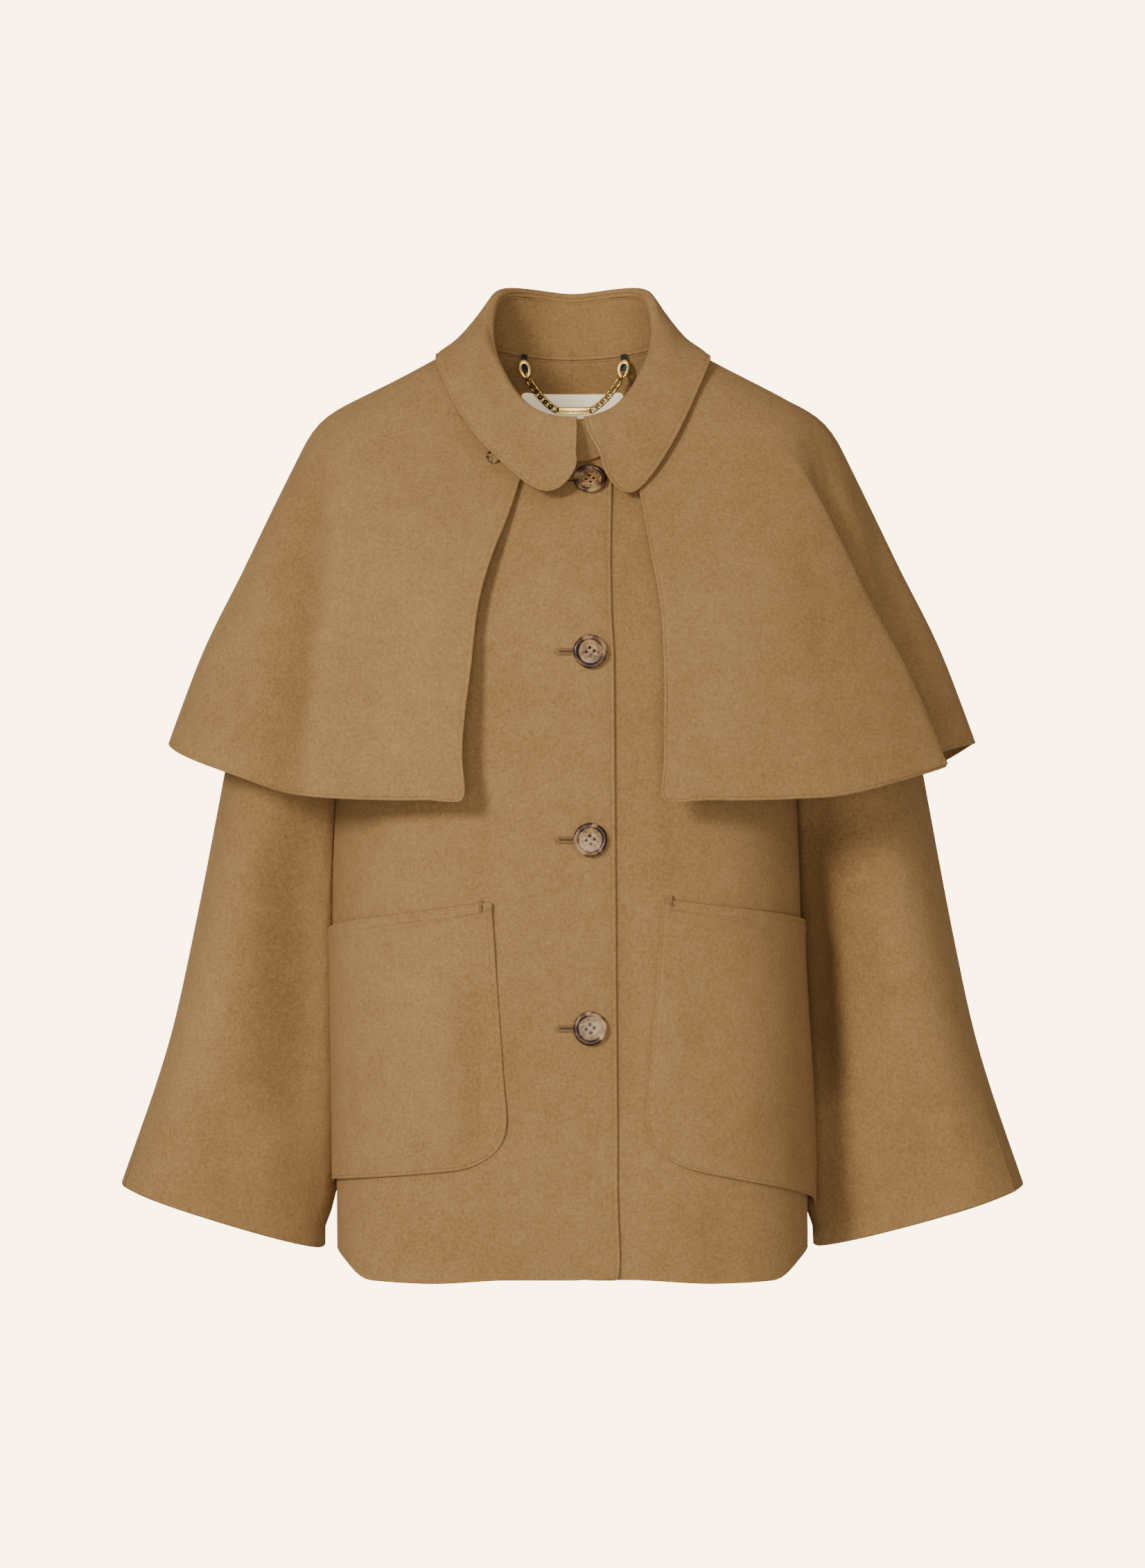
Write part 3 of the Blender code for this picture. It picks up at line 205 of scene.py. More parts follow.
def walk_rim(rung, face):
    """Walks once round the rim, and returns its two long sides, its slanted edges and its faces."""
    sides = ([rung.verts[0]], [rung.verts[1]])
    slants = []
    faces = []
    while True:
        near, far = sides[0][-1], sides[1][-1]
        tip = third(face, near, far)
        choices = []
        for left, swap in ((far, False), (near, True)):
            slant = edge_between(face.edges, tip, left)
            beyond = across(slant, face)
            last = third(beyond, tip, left)
            pair = (last, tip) if swap else (tip, last)
            choices.append(((pair[0].co - pair[1].co).length, pair, slant, beyond))
        gap, pair, slant, beyond = min(choices, key=lambda choice: choice[0])
        if gap > THICKEST:
            return sides, slants, faces
        slants.append(slant)
        faces.append((face, beyond))
        sides[0].append(pair[0])
        sides[1].append(pair[1])
        if set(pair) == set(rung.verts):
            return sides, slants, faces
        face = across(edge_between(beyond.edges, *pair), beyond)


def next_ring(ring, known):
    """The next row of points round a cloth shell, with its slanted edges and its faces."""
    count = len(ring)
    edges = []
    for number in range(count):
        pair = (ring[number], ring[(number + 1) % count])
        edges.append(edge_between(pair[0].link_edges, *pair))
    opens = [face for face in edges[0].link_faces if face not in known]
    if len(opens) != 1:
        return None
    tip = third(opens[0], ring[0], ring[1])
    slant = edge_between(opens[0].edges, tip, ring[0])
    for start in (tip, third(across(slant, opens[0]), tip, ring[0])):
        row = [start]
        slants = []
        faces = []
        for number, edge in enumerate(edges):
            near, far = ring[number], ring[(number + 1) % count]
            fresh = [face for face in edge.link_faces if face not in known]
            if len(fresh) != 1:
                break
            tip = third(fresh[0], near, far)
            turned = far if tip == row[-1] else near
            slant = edge_between(fresh[0].edges, tip, turned)
            beyond = across(slant, fresh[0])
            last = third(beyond, tip, turned)
            if tip != row[-1]:
                if last != row[-1]:
                    break
                last = tip
            row.append(last)
            slants.append(slant)
            faces.extend((fresh[0], beyond))
        if len(row) == count + 1 and row[-1] == row[0] and len(set(row)) == count:
            return row[:-1], slants, faces
    return None


def slanted_edges(shell):
    """The edges that cut each four-sided cell of a cloth shell in two, and the faces of its rim."""
    for rung, face in [(rung, face) for rung in corner_rungs(shell) for face in rung.link_faces]:
        sides, slants, faces = walk_rim(rung, face)
        for length in range(1, len(slants) // 2 + 1):
            found = slants[:length]
            known = {half for cell in faces[:length] for half in cell}
            ring = sides[0][: length + 1] + sides[1][: length + 1][::-1]
            while True:
                row = next_ring(ring, known)
                if row is None:
                    break
                ring = row[0]
                found.extend(row[1])
                known.update(row[2])
            if len(found) > 2 * length:
                left = len(shell.faces) - len(known)
                if left == 2 * length:
                    rim = {half for cell in faces for half in cell}
                    found.extend(edge for edge in slants if edge not in found)
                    return found, rim
    return None, None


def squared(node):
    """A CAD node's mesh as one closed shell of four-sided faces, its rim marked."""
    shell = bmesh.new()
    shell.from_mesh(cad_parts[node].data)
    bmesh.ops.remove_doubles(shell, verts=shell.verts, dist=SAME_PLACE)
    rim = shell.faces.layers.int.new("rim")
    slants, edge_faces = slanted_edges(shell)
    for face in edge_faces:
        face[rim] = 1
    bmesh.ops.dissolve_edges(shell, edges=slants, use_verts=False, use_face_split=False)
    shell.normal_update()
    return shell


def merged_copies(nodes):
    """CAD nodes' meshes in one bmesh, each a closed shell, with the number of its solid."""
    together = bmesh.new()
    part = together.verts.layers.int.new("solid")
    for number, node in enumerate(nodes):
        shell = squared(node)
        mesh = bpy.data.meshes.new(node)
        shell.to_mesh(mesh)
        known = len(together.verts)
        together.from_mesh(mesh)
        bpy.data.meshes.remove(mesh)
        together.verts.ensure_lookup_table()
        for vert in together.verts[known:]:
            vert[part] = number
    return together, part


def point_tree(verts):
    """A search tree over points."""
    tree = KDTree(len(verts))
    for number, vert in enumerate(verts):
        tree.insert(vert.co, number)
    tree.balance()
    return tree


def sew(shell, part, count):
    """Joins the facing edges of each solid and the next into one seam, and returns its points."""
    sewn = set()
    for first in range(count - 1):
        theirs = [vert for vert in shell.verts if vert[part] == first + 1]
        near = point_tree(theirs)
        joined = {}
        for vert in shell.verts:
            if vert[part] == first and vert not in sewn:
                _, number, gap = near.find(vert.co)
                if gap < SEAM_REACH and theirs[number] not in joined.values():
                    joined[vert] = theirs[number]
        for vert, other in joined.items():
            other.co = (vert.co + other.co) / 2
        sewn |= set(joined.values())
        bmesh.ops.weld_verts(shell, targetmap=joined)
    inside = [face for face in shell.faces if all(vert in sewn for vert in face.verts)]
    bmesh.ops.delete(shell, geom=inside, context="FACES")
    return [vert for vert in shell.verts if vert in sewn]


def sink_seams(shell, sewn):
    """A shallow groove along each seam."""
    points = point_tree(sewn)
    line = [edge for edge in shell.edges if all(vert in sewn for vert in edge.verts)]
    bmesh.ops.bevel(
        shell, geom=line, offset=SEAM_WIDTH, offset_type="OFFSET", segments=2, profile=0.5,
        affect="EDGES", material=-1, clamp_overlap=True,
    )
    shell.normal_update()
    for vert in shell.verts:
        if points.find(vert.co)[2] < SEAM_NEAR:
            vert.co -= vert.normal * SEAM_SINK


def broad_sides(shell):
    """The outer and inner side of a cloth shell, as lists of faces, without the rim."""
    rim = shell.faces.layers.int["rim"]
    broad = {face for face in shell.faces if not face[rim]}
    sides = []
    for start in shell.faces:
        if start not in broad:
            continue
        broad.discard(start)
        side = [start]
        for face in side:
            for edge in face.edges:
                for other in edge.link_faces:
                    if other in broad:
                        broad.discard(other)
                        side.append(other)
        sides.append(side)
    return sides


def roll_edges(shell, band, beside, sink):
    """A turned edge all round: a flat band, then a shallow sewn line."""
    for side in broad_sides(shell):
        strip = bmesh.ops.inset_region(shell, faces=side, thickness=band)
        inner = bmesh.ops.inset_region(shell, faces=side, thickness=beside)
        shell.normal_update()
        first = {vert for face in strip["faces"] for vert in face.verts}
        second = {vert for face in inner["faces"] for vert in face.verts}
        for vert in first & second:
            vert.co -= vert.normal * sink


def smooth_shaded(mesh):
    """Shades all faces of a mesh smoothly."""
    for face in mesh.polygons:
        face.use_smooth = True


def placed(name, data):
    """A new object in the scene."""
    thing = bpy.data.objects.new(name, data)
    bpy.context.scene.collection.objects.link(thing)
    return thing


def new_piece(name, shell, materials, body="jacket"):
    """A bmesh made into a named piece that rides on a body."""
    mesh = bpy.data.meshes.new(name)
    shell.to_mesh(mesh)
    shell.free()
    piece = placed(name, mesh)
    for material in materials:
        mesh.materials.append(material)
    smooth_shaded(mesh)
    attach(piece, body)
    return piece


def finished(piece):
    """The mesh of a piece with its modifiers applied."""
    bpy.context.view_layer.update()
    seen = piece.evaluated_get(bpy.context.evaluated_depsgraph_get())
    return bpy.data.meshes.new_from_object(seen)


def settle(piece):
    """Applies a piece's modifiers to its mesh."""
    mesh = finished(piece)
    piece.modifiers.clear()
    piece.data = mesh
    smooth_shaded(mesh)


def rounded(piece, rounds):
    """Subdivides a piece into a smooth surface that still passes through its own points."""
    smooth = piece.modifiers.new("rounding", "SUBSURF")
    smooth.levels = 1
    smooth.render_levels = rounds
    wanted = [vert.co.copy() for vert in piece.data.vertices]
    for _ in range(HOLDING_ROUNDS):
        shrunk = finished(piece)
        for vert, place in zip(piece.data.vertices, wanted):
            vert.co += place - shrunk.vertices[vert.index].co
        bpy.data.meshes.remove(shrunk)
        piece.data.update()
    smooth.levels = rounds
    settle(piece)


def seen_at(place):
    """The picture's pixel where a point is seen from the front."""
    reach = (place.y - EYE.y) / -EYE.y * PIXEL
    return Vector((CENTRE[0] + place.x / reach, CENTRE[1] - (place.z - EYE.z) / reach))


def fold_softly(piece, lines):
    """Presses soft troughs and ridges into both walls of a cloth piece alike, and keeps each
    point's depth for the wool's painted shade.
    """
    crease_shade_layer = piece.data.attributes.new("crease_shade", "FLOAT", "POINT")
    for vert, crease_shade in zip(piece.data.vertices, crease_shade_layer.data):
        pixel = seen_at(vert.co)
        push = 0.0
        for x_start, y_start, x_end, y_end, width, depth in lines:
            start = Vector((x_start, y_start))
            along = Vector((x_end, y_end)) - start
            share = (pixel - start).dot(along) / along.length_squared
            off = abs((pixel - start).cross(along)) / along.length
            ends = max(0.0, 1 - (2 * share - 1) ** 4) if 0 < share < 1 else 0.0
            push += depth * MM * ends * math.exp(-((off / width) ** 2))
        vert.co.y += push
        # the depth is kept for painted shade in the troughs and painted light on the ridges
        crease_shade.value = push / MM


class Skin:
    """The outside of some pieces, for laying sewing and trims on it."""

    def __init__(self, pieces):
        points = []
        faces = []
        for piece in pieces:
            known = len(points)
            points.extend(vert.co.copy() for vert in piece.data.vertices)
            faces.extend([known + n for n in face.vertices] for face in piece.data.polygons)
        self.tree = BVHTree.FromPolygons(points, faces)

    def under(self, x, y):
        """The point and outward direction seen at a pixel of the picture."""
        ray = Vector(((x - CENTRE[0]) * PIXEL, -EYE.y, -(y - CENTRE[1]) * PIXEL)).normalized()
        place, out, _, _ = self.tree.ray_cast(EYE, ray)
        return place, out if out.dot(ray) < 0 else -out


def turns_of(count, start=0.0):
    """Angles at even steps once round."""
    return [start + 2 * math.pi * number / count for number in range(count)]


def add_runs(curve, runs, closed):
    """Adds straight-sided lines through points to a curve."""
    for run in runs:
        spline = curve.splines.new("POLY")
        spline.points.add(len(run) - 1)
        for point, place in zip(spline.points, run):
            point.co = (*place, 1)
        spline.use_cyclic_u = closed


def curve_mesh(name, runs, radius, closed=False, resolution=2):
    """A mesh of round threads of one thickness, each along a list of points."""
    curve = bpy.data.curves.new(name, "CURVE")
    curve.dimensions = "3D"
    curve.bevel_depth = radius
    curve.bevel_resolution = resolution
    curve.use_fill_caps = not closed
    add_runs(curve, runs, closed)
    return meshed(name, curve)


def meshed(name, curve):
    """The mesh that a curve makes."""
    strand = placed(name, curve)
    mesh = finished(strand)
    bpy.data.objects.remove(strand, do_unlink=True)
    bpy.data.curves.remove(curve)
    return mesh


def plate_mesh(name, loops, thickness, edge, place):
    """A flat plate with rounded edges: its outline, then its holes, as lists of (x, y)."""
    curve = bpy.data.curves.new(name, "CURVE")
    curve.dimensions = "2D"
    curve.fill_mode = "BOTH"
    curve.extrude = thickness / 2 - edge
    curve.bevel_depth = edge
    curve.bevel_resolution = 2
    curve.offset = -edge
    add_runs(curve, [[(x, y, 0) for x, y in loop] for loop in loops], True)
    mesh = meshed(name, curve)
    mesh.transform(place)
    return mesh


def oval(half_length, half_width, count, centre):
    """The outline of an oval, as a list of (x, y)."""
    return [
        (centre[0] + half_length * math.cos(turn), centre[1] + half_width * math.sin(turn))
        for turn in turns_of(count)
    ]


def circle(radius, count, centre=(0, 0)):
    """The outline of a circle, as a list of (x, y)."""
    return oval(radius, radius, count, centre)


def standing(middle, along, beside, out):
    """The matrix that puts X, Y and Z in three directions, at a middle."""
    return Matrix.Translation(middle) @ Matrix((along, beside, out)).transposed().to_4x4()


def joined(name, meshes, materials, body="jacket"):
    """Meshes joined into one piece, each with the material of its place in the list."""
    together = bmesh.new()
    for number, mesh in enumerate(meshes):
        known = len(together.faces)
        together.from_mesh(mesh)
        together.faces.ensure_lookup_table()
        if len(materials) > 1:
            for face in together.faces[known:]:
                face.material_index = number
        bpy.data.meshes.remove(mesh)
    bmesh.ops.remove_doubles(together, verts=together.verts, dist=SAME_PLACE / 10)
    bmesh.ops.recalc_face_normals(together, faces=together.faces)
    return new_piece(name, together, materials, body)


def own_frame(node):
    """The middle of a CAD node and a matrix with its long side along X and its thin one along Z."""
    points = {tuple(round(c, 6) for c in vert.co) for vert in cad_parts[node].data.vertices}
    points = np.array(sorted(points))
    middle = (points.min(axis=0) + points.max(axis=0)) / 2
    _, axes = np.linalg.eigh(np.cov((points - points.mean(axis=0)).T))
    thin, wide, long = (Vector(axes[:, n]) for n in range(3))
    if thin.y > 0:
        thin = -thin
    wide = thin.cross(long)
    turn = Matrix((long, wide, thin)).transposed().to_4x4()
    flat = (points - middle) @ np.array(turn.to_3x3())
    shift = (flat.min(axis=0) + flat.max(axis=0)) / 2
    middle = Vector(middle) + turn.to_3x3() @ Vector(shift)
    span = Vector(flat.max(axis=0) - flat.min(axis=0))
    return Matrix.Translation(middle) @ turn, span


# ------------------------------------ buttons

# the section of a button's rim, in shares of its radius and its height, from the disc to its foot
BUTTON_SECTION = (
    (0.66, 0.34), (0.68, 0.64), (0.72, 0.82), (0.77, 0.95),
    (0.84, 1.0), (0.91, 0.97), (0.97, 0.85), (1.0, 0.66),
    (0.99, 0.46), (0.93, 0.26), (0.82, 0.1), (0.66, 0.02),
)
BUTTON_STEPS = 64

# its disc, and the plain back behind its holes that carries their painted shade, in shares of its
# radius and its height
DISC_SHARE = 0.70
DISC_EDGE = 0.018
DISC_THICKNESS = 0.3
DISC_TOP = 0.62
BACK_SHARE = 0.4
BACK_POINTS = 32
BACK_THICKNESS = 0.08
BACK_EDGE = 0.01
BACK_LEVEL = -0.38

# its four holes, in shares of its radius
HOLE_CIRCLE = 0.234
HOLE_SHARE = 0.090
HOLE_TURN = math.radians(8)
HOLE_POINTS = 20

# painted shade: what lies inside and below these shows only through the holes, and is coloured dark
# as the shade in them
HOLE_SHADE_SHARE = 0.42
HOLE_SHADE_LEVEL = -0.25
HOLE_SHADE_MARK = 100.0

# the way through the horn from one button to the next, so that no two look alike
HORN_STEP = 3.7


def button(node, number, material):
    """A turned button on the place of its CAD node, with the place on it kept for its material."""
    place, span = own_frame(node)
    radius = max(span.x, span.y) / 2
    height = span.z
    turn = place.to_3x3()
    out = turn @ Vector((0, 0, 1))
    up = (Vector((0, 0, 1)) - out * out.z).normalized()
    place = standing(place.translation, up.cross(out), up, out)
    section = bmesh.new()
    ring = [section.verts.new((x * radius, 0, (z - 0.5) * height)) for x, z in BUTTON_SECTION]
    edges = [section.edges.new(pair) for pair in zip(ring, ring[1:] + ring[:1])]
    bmesh.ops.spin(
        section, geom=ring + edges, cent=(0, 0, 0), axis=(0, 0, 1), angle=2 * math.pi,
        steps=BUTTON_STEPS, use_merge=True,
    )
    bmesh.ops.remove_doubles(section, verts=section.verts, dist=SAME_PLACE)
    rim = bpy.data.meshes.new(node + "_rim")
    section.to_mesh(rim)
    section.free()
    reach = HOLE_CIRCLE * radius
    holes = [
        circle(HOLE_SHARE * radius, HOLE_POINTS, (reach * math.cos(at), reach * math.sin(at)))
        for at in turns_of(4, HOLE_TURN)
    ]
    thickness = DISC_THICKNESS * height
    level = Matrix.Translation((0, 0, (DISC_TOP - 0.5) * height - thickness / 2))
    disc = circle(DISC_SHARE * radius, BUTTON_STEPS)
    plate = plate_mesh(node + "_disc", [disc, *holes], thickness, DISC_EDGE * radius, level)
    level = Matrix.Translation((0, 0, BACK_LEVEL * height))
    disc = circle(BACK_SHARE * radius, BACK_POINTS)
    back = plate_mesh(node + "_back", [disc], BACK_THICKNESS * height, BACK_EDGE * height, level)
    piece = joined(node + "_turned", [rim, plate, back], [material])
    # the spot attribute also marks what is seen through the holes, for their painted shade
    spots = piece.data.attributes.new("spot", "FLOAT_VECTOR", "POINT")
    for vert, spot in zip(piece.data.vertices, spots.data):
        x, y, z = vert.co
        behind = math.hypot(x, y) < HOLE_SHADE_SHARE * radius and z < HOLE_SHADE_LEVEL * height
        spot.vector = (x / radius, y / radius, -HOLE_SHADE_MARK if behind else number * HORN_STEP)
    piece.data.transform(place)
    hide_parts(node)
    return piece


# ------------------------------------ label, ribbons and hanger chain

# the turned edges of the label and the tabs, and the share of a tab's width that is kept
LABEL_BAND = 1.0 * MM
TAB_BAND = 0.5 * MM
TAB_SHARE = 0.62
RIBBON_ROUNDS = 2

RING_EDGE = 0.35 * MM
RING_POINTS = 48
RING_HOLE = (8.0 * MM, 4.7 * MM)
RING_HOLE_POINTS = 40
BAR_EDGE = 0.3 * MM
BAR_CORNER = 1.1 * MM
BAR_CORNER_STEPS = 4
BAR_HOLE = 1.2 * MM
BAR_HOLE_X = 13.3 * MM

# the links: their wire's radius, how much wider a curb link is than its solid, how soon its
# straight sides turn into its ends, and how far it rolls about its length
WIRE = 0.98 * MM
LINK_POINTS = 28
LINK_WIDER = 0.8 * MM
LINK_STRAIGHT = 2.5
CURB_ROLL = math.radians(38)
CHAIN_SIDES = ("right", "left")
LINKS_A_SIDE = 6


def laid_ribbon(name, node, band, material, narrowed=1.0):
    """A flat piece of ribbon on the place of its CAD node, with turned edges."""
    shell, _ = merged_copies([node])
    low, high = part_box(node)
    middle = (low[0] + high[0]) / 2
    for vert in shell.verts:
        vert.co.x = middle + (vert.co.x - middle) * narrowed
    roll_edges(shell, band, band / 2, band / 6)
    piece = new_piece(name, shell, [material])
    rounded(piece, RIBBON_ROUNDS)
    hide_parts(node)
    return piece


def rounded_bar(half_length, half_width, corner):
    """The outline of a bar with quarter-round corners."""
    outline = []
    for x_side, y_side, start in ((1, 1, 0), (-1, 1, 1), (-1, -1, 2), (1, -1, 3)):
        for step in range(BAR_CORNER_STEPS + 1):
            turn = (start + step / BAR_CORNER_STEPS) * math.pi / 2
            outline.append((
                x_side * (half_length - corner) + corner * math.cos(turn),
                y_side * (half_width - corner) + corner * math.sin(turn),
            ))
    return outline


def wire_link(node):
    """A closed link of round wire, long in its node's own direction."""
    place, span = own_frame(node)
    straight = (span.x - span.y) / 2
    bend = span.y / 2 - WIRE
    if node.startswith("link"):
        bend += LINK_WIDER
        along = place.to_3x3() @ Vector((1, 0, 0))
        along *= -1 if along.z > 0 else 1
        face = Matrix.Rotation(CURB_ROLL, 3, along) @ along.cross(Vector((0, 0, 1))).normalized()
        place = standing(place.translation, along, face.cross(along), face)
    path = []
    for turn in turns_of(LINK_POINTS):
        shift = straight * max(-1.0, min(1.0, LINK_STRAIGHT * math.cos(turn)))
        path.append(place @ Vector((shift + bend * math.cos(turn), bend * math.sin(turn), 0)))
    return curve_mesh(node, [path], WIRE, closed=True, resolution=3)


def hanger_chain(metal):
    """The curb links with their top rings, the pierced plate, and the two flat rings."""
    links = [f"top_ring_{side}" for side in CHAIN_SIDES]
    numbers = range(1, LINKS_A_SIDE + 1)
    links += [f"link_{side}_{number}" for side in CHAIN_SIDES for number in numbers]
    chain = joined("curb_links", [wire_link(node) for node in links], [metal], "hanger_chain")
    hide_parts(*links)
    place, span = own_frame("chain_bar")
    loops = [rounded_bar(span.x / 2, span.y / 2, BAR_CORNER)]
    for x in (-BAR_HOLE_X, BAR_HOLE_X):
        loops.append(circle(BAR_HOLE, HOLE_POINTS, (x, 0)))
    bar = plate_mesh("bar", loops, span.z, BAR_EDGE, place)
    bar = joined("chain_plate", [bar], [metal], "hanger_chain")
    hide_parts("chain_bar")
    for side in CHAIN_SIDES:
        place, span = own_frame(f"flat_ring_{side}")
        rim = oval(span.x / 2, span.y / 2, RING_POINTS, (0, 0))
        hole = oval(RING_HOLE[0] / 2, RING_HOLE[1] / 2, RING_HOLE_POINTS, (0, 0))
        ring = plate_mesh("ring", [rim, hole], span.z, RING_EDGE, place)
        ring = joined(f"flat_ring_{side}_metal", [ring], [metal])
        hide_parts(f"flat_ring_{side}")


# ------------------------------------ sewing

# the wound thread, and its way from turn to turn
THREAD = 0.22 * MM
WOUND_PITCH = 0.62 * MM
WOUND_STEPS = 8

# each cord's lift off the cloth and its radius, and the core that fills them
RIM_CORD = (0.3 * MM, 0.95 * MM)
END_CORD = (0.5 * MM, 0.62 * MM)
TACK_CORD = (0.9 * MM, 1.05 * MM)
# the slit's strand is a dark line of painted shadow in the buttonhole's gap, sunk a little into the
# cloth
SLIT_SHADOW_STRAND = (-0.05 * MM, 0.42 * MM)
CORE = 0.62 * MM

# front buttonholes in the picture's pixels: their left end, the button that covers their right
# end, and their height; and the bar tacks at the pocket mouths: x, top and foot
BUTTONHOLES = ((803, 850, 692), (804, 847, 939), (804, 848, 1211), (804, 850, 1483))
HOLE_HALF_HEIGHT = 3.3
HOLE_END = 2.2
HOLE_STEP = 6
END_TURNS = (60, 30, 0, -30, -60)
END_STEPS = (-5, 0, 5)
SLIT_INSET = 4
BAR_TACKS = ((694, 1299, 1314), (968, 1292, 1307))

# a stitch and the gap after it in the picture's pixels, its rise and its radius
STITCH = 2.6
STITCH_GAP = 1.5
STITCH_RISE = 0.12 * MM
STITCH_THREAD = 0.24 * MM

# the line of stitches along each pocket's mouth, in the picture's pixels
STITCHED = {
    "pocket_right": ((704, 1313), (611, 1332), (554, 1342), (506, 1349), (478, 1354)),
    "pocket_left": ((962, 1309), (1017, 1320), (1071, 1330), (1125, 1337), (1155, 1343)),
}


def resampled(points, pitch):
    """Points at even distances along a line, and the directions there."""
    out = []
    left = 0.0
    for first, second in zip(points, points[1:]):
        length = (second - first).length
        while left < length:
            out.append((first.lerp(second, left / length), (second - first).normalized()))
            left += pitch
        left -= length
    return out


def wound(points, out, radius):
    """A thread wound closely round a line that lies on the cloth."""
    coil = []
    for number, (place, along) in enumerate(resampled(points, WOUND_PITCH / WOUND_STEPS)):
        turn = 2 * math.pi * number / WOUND_STEPS
        side = out.cross(along).normalized()
        up = along.cross(side).normalized()
        coil.append(place + (side * math.cos(turn) + up * math.sin(turn)) * radius)
    return coil


def on_skin(skin, pixels, lift):
    """The picture's pixels laid on the cloth, lifted off it a little, and the way out there."""
    laid = [skin.under(x, y) for x, y in pixels]
    out = sum((way for _, way in laid), Vector()).normalized()
    return [place + out * lift for place, _ in laid], out


def corded(name, skin, thread, dark):
    """The corded buttonholes and bar tacks of the fronts, with a dark strand of painted shadow
    along each slit.
    """
    cords = []
    slit_shadows = []
    for left, right, height in BUTTONHOLES:
        rims = []
        for side in (-1, 1):
            level = height + side * HOLE_HALF_HEIGHT
            rims.append([(x, level) for x in range(right, left - 1, -HOLE_STEP)])
        ends = [
            (left - HOLE_END * math.cos(turn), height - HOLE_HALF_HEIGHT * math.sin(turn))
            for turn in map(math.radians, END_TURNS)
        ]
        cords.append((rims[0] + ends + rims[1][::-1], RIM_CORD))
        cords.append(([(left + 1, height + step) for step in END_STEPS], END_CORD))
        slit = [(x, height) for x in range(left + SLIT_INSET, right + 1, HOLE_STEP)]
        slit_shadows.append(on_skin(skin, slit, SLIT_SHADOW_STRAND[0])[0])
    for x, top, foot in BAR_TACKS:
        cords.append(([(x, top), (x, (top + foot) / 2), (x, foot)], TACK_CORD))
    coils = []
    cores = []
    for pixels, (lift, radius) in cords:
        core, out = on_skin(skin, pixels, lift)
        coils.append(wound(core, out, radius))
        cores.append(core)
    meshes = [curve_mesh(name, coils, THREAD, resolution=1), curve_mesh(name, cores, CORE)]
    slit_shadows = curve_mesh(name, slit_shadows, SLIT_SHADOW_STRAND[1])
    piece = joined(name, [merged_mesh(meshes), slit_shadows], [thread, dark])


def merged_mesh(meshes):
    """Meshes put together into one."""
    together = bmesh.new()
    for mesh in meshes:
        together.from_mesh(mesh)
        bpy.data.meshes.remove(mesh)
    mesh = bpy.data.meshes.new("merged")
    together.to_mesh(mesh)
    together.free()
    return mesh


def stitches(name, skin, line, thread):
    """Short stitches along a line, half sunk in the cloth."""
    runs = []
    for start, along in resampled([Vector(point) for point in line], STITCH + STITCH_GAP):
        dash = [start + along * STITCH * share for share in (0, 0.5, 1)]
        laid, out = on_skin(skin, dash, 0)
        laid[1] += out * STITCH_RISE
        runs.append(laid)
    piece = joined(name, [curve_mesh(name, runs, STITCH_THREAD, resolution=1)], [thread])


def held_in_box(piece, nodes):
    """Keeps a piece inside the box of its solids, where rounding would swell past it."""
    low = [min(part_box(node)[0][axis] for node in nodes) for axis in range(3)]
    high = [max(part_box(node)[1][axis] for node in nodes) for axis in range(3)]
    for vert in piece.data.vertices:
        for axis in range(3):
            vert.co[axis] = min(max(vert.co[axis], low[axis]), high[axis])


def gentle(low, high, value):
    """A soft step from 0 at the low value to 1 at the high one."""
    share = min(max((value - low) / (high - low), 0.0), 1.0)
    return share * share * (3 - 2 * share)


def curved_hem(piece):
    """Turns the hem up at the sides and lets it down beside them, as the cloth hangs."""
    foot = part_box("front_right")[0][2]
    top = foot + HEM_BAND
    for vert in piece.data.vertices:
        if vert.co.z < top:
            near = 1 - gentle(foot, top, vert.co.z)
            off = abs(vert.co.x - HEM_MIDDLE)
            lift = HEM_CORNER * gentle(*HEM_CORNER_AT, off) ** HEM_CORNER_CURVE
            drop = HEM_DROP * gentle(*HEM_DROP_AT, off) * (1 - gentle(*HEM_DROP_ENDS, off))
            vert.co.z += near * (lift - drop)


def raised_throat(piece):
    """The closed front of the stand reaches up between the tips of the collar."""
    for vert in piece.data.vertices:
        if vert.co.y < 0:
            off = (vert.co.x - THROAT_MIDDLE) / THROAT_HALF_WIDTH
            sets_in = gentle(*THROAT_LEVELS, vert.co.z)
            vert.co.z += THROAT_RISE * math.exp(-(off ** 4)) * sets_in


def pressed(piece, skin):
    """Lets a piece rest against the cloth beside it where only a narrow gap is left."""
    for vert in piece.data.vertices:
        place, _, _, gap = skin.tree.find_nearest(vert.co, PRESS_REACH)
        if place is not None:
            level = gentle(*PRESS_LEVELS, vert.co.z)
            near = 1 - gentle(PRESS_WHOLE, 1.0, gap / PRESS_REACH)
            vert.co = vert.co.lerp(place, level * near)


def cloth_piece(name, material):
    """One cloth of the jacket: its solids sewn together, rounded, and folded softly."""
    nodes, flat, area, held, carriers = CUTS[name]
    shell, part = merged_copies(nodes)
    sewn = sew(shell, part, len(nodes))
    shell.normal_update()
    if sewn:
        sink_seams(shell, sewn)
    roll_edges(shell, EDGE_BAND, BESIDE_BAND, EDGE_SINK)
    piece = new_piece(name, shell, [material])
    rounded(piece, WOOL_ROUNDS)
    held_in_box(piece, nodes)
    fold_softly(piece, SOFT_LINES.get(name, ()))
    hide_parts(*nodes)
    return piece


# ------------------------------------ finishes

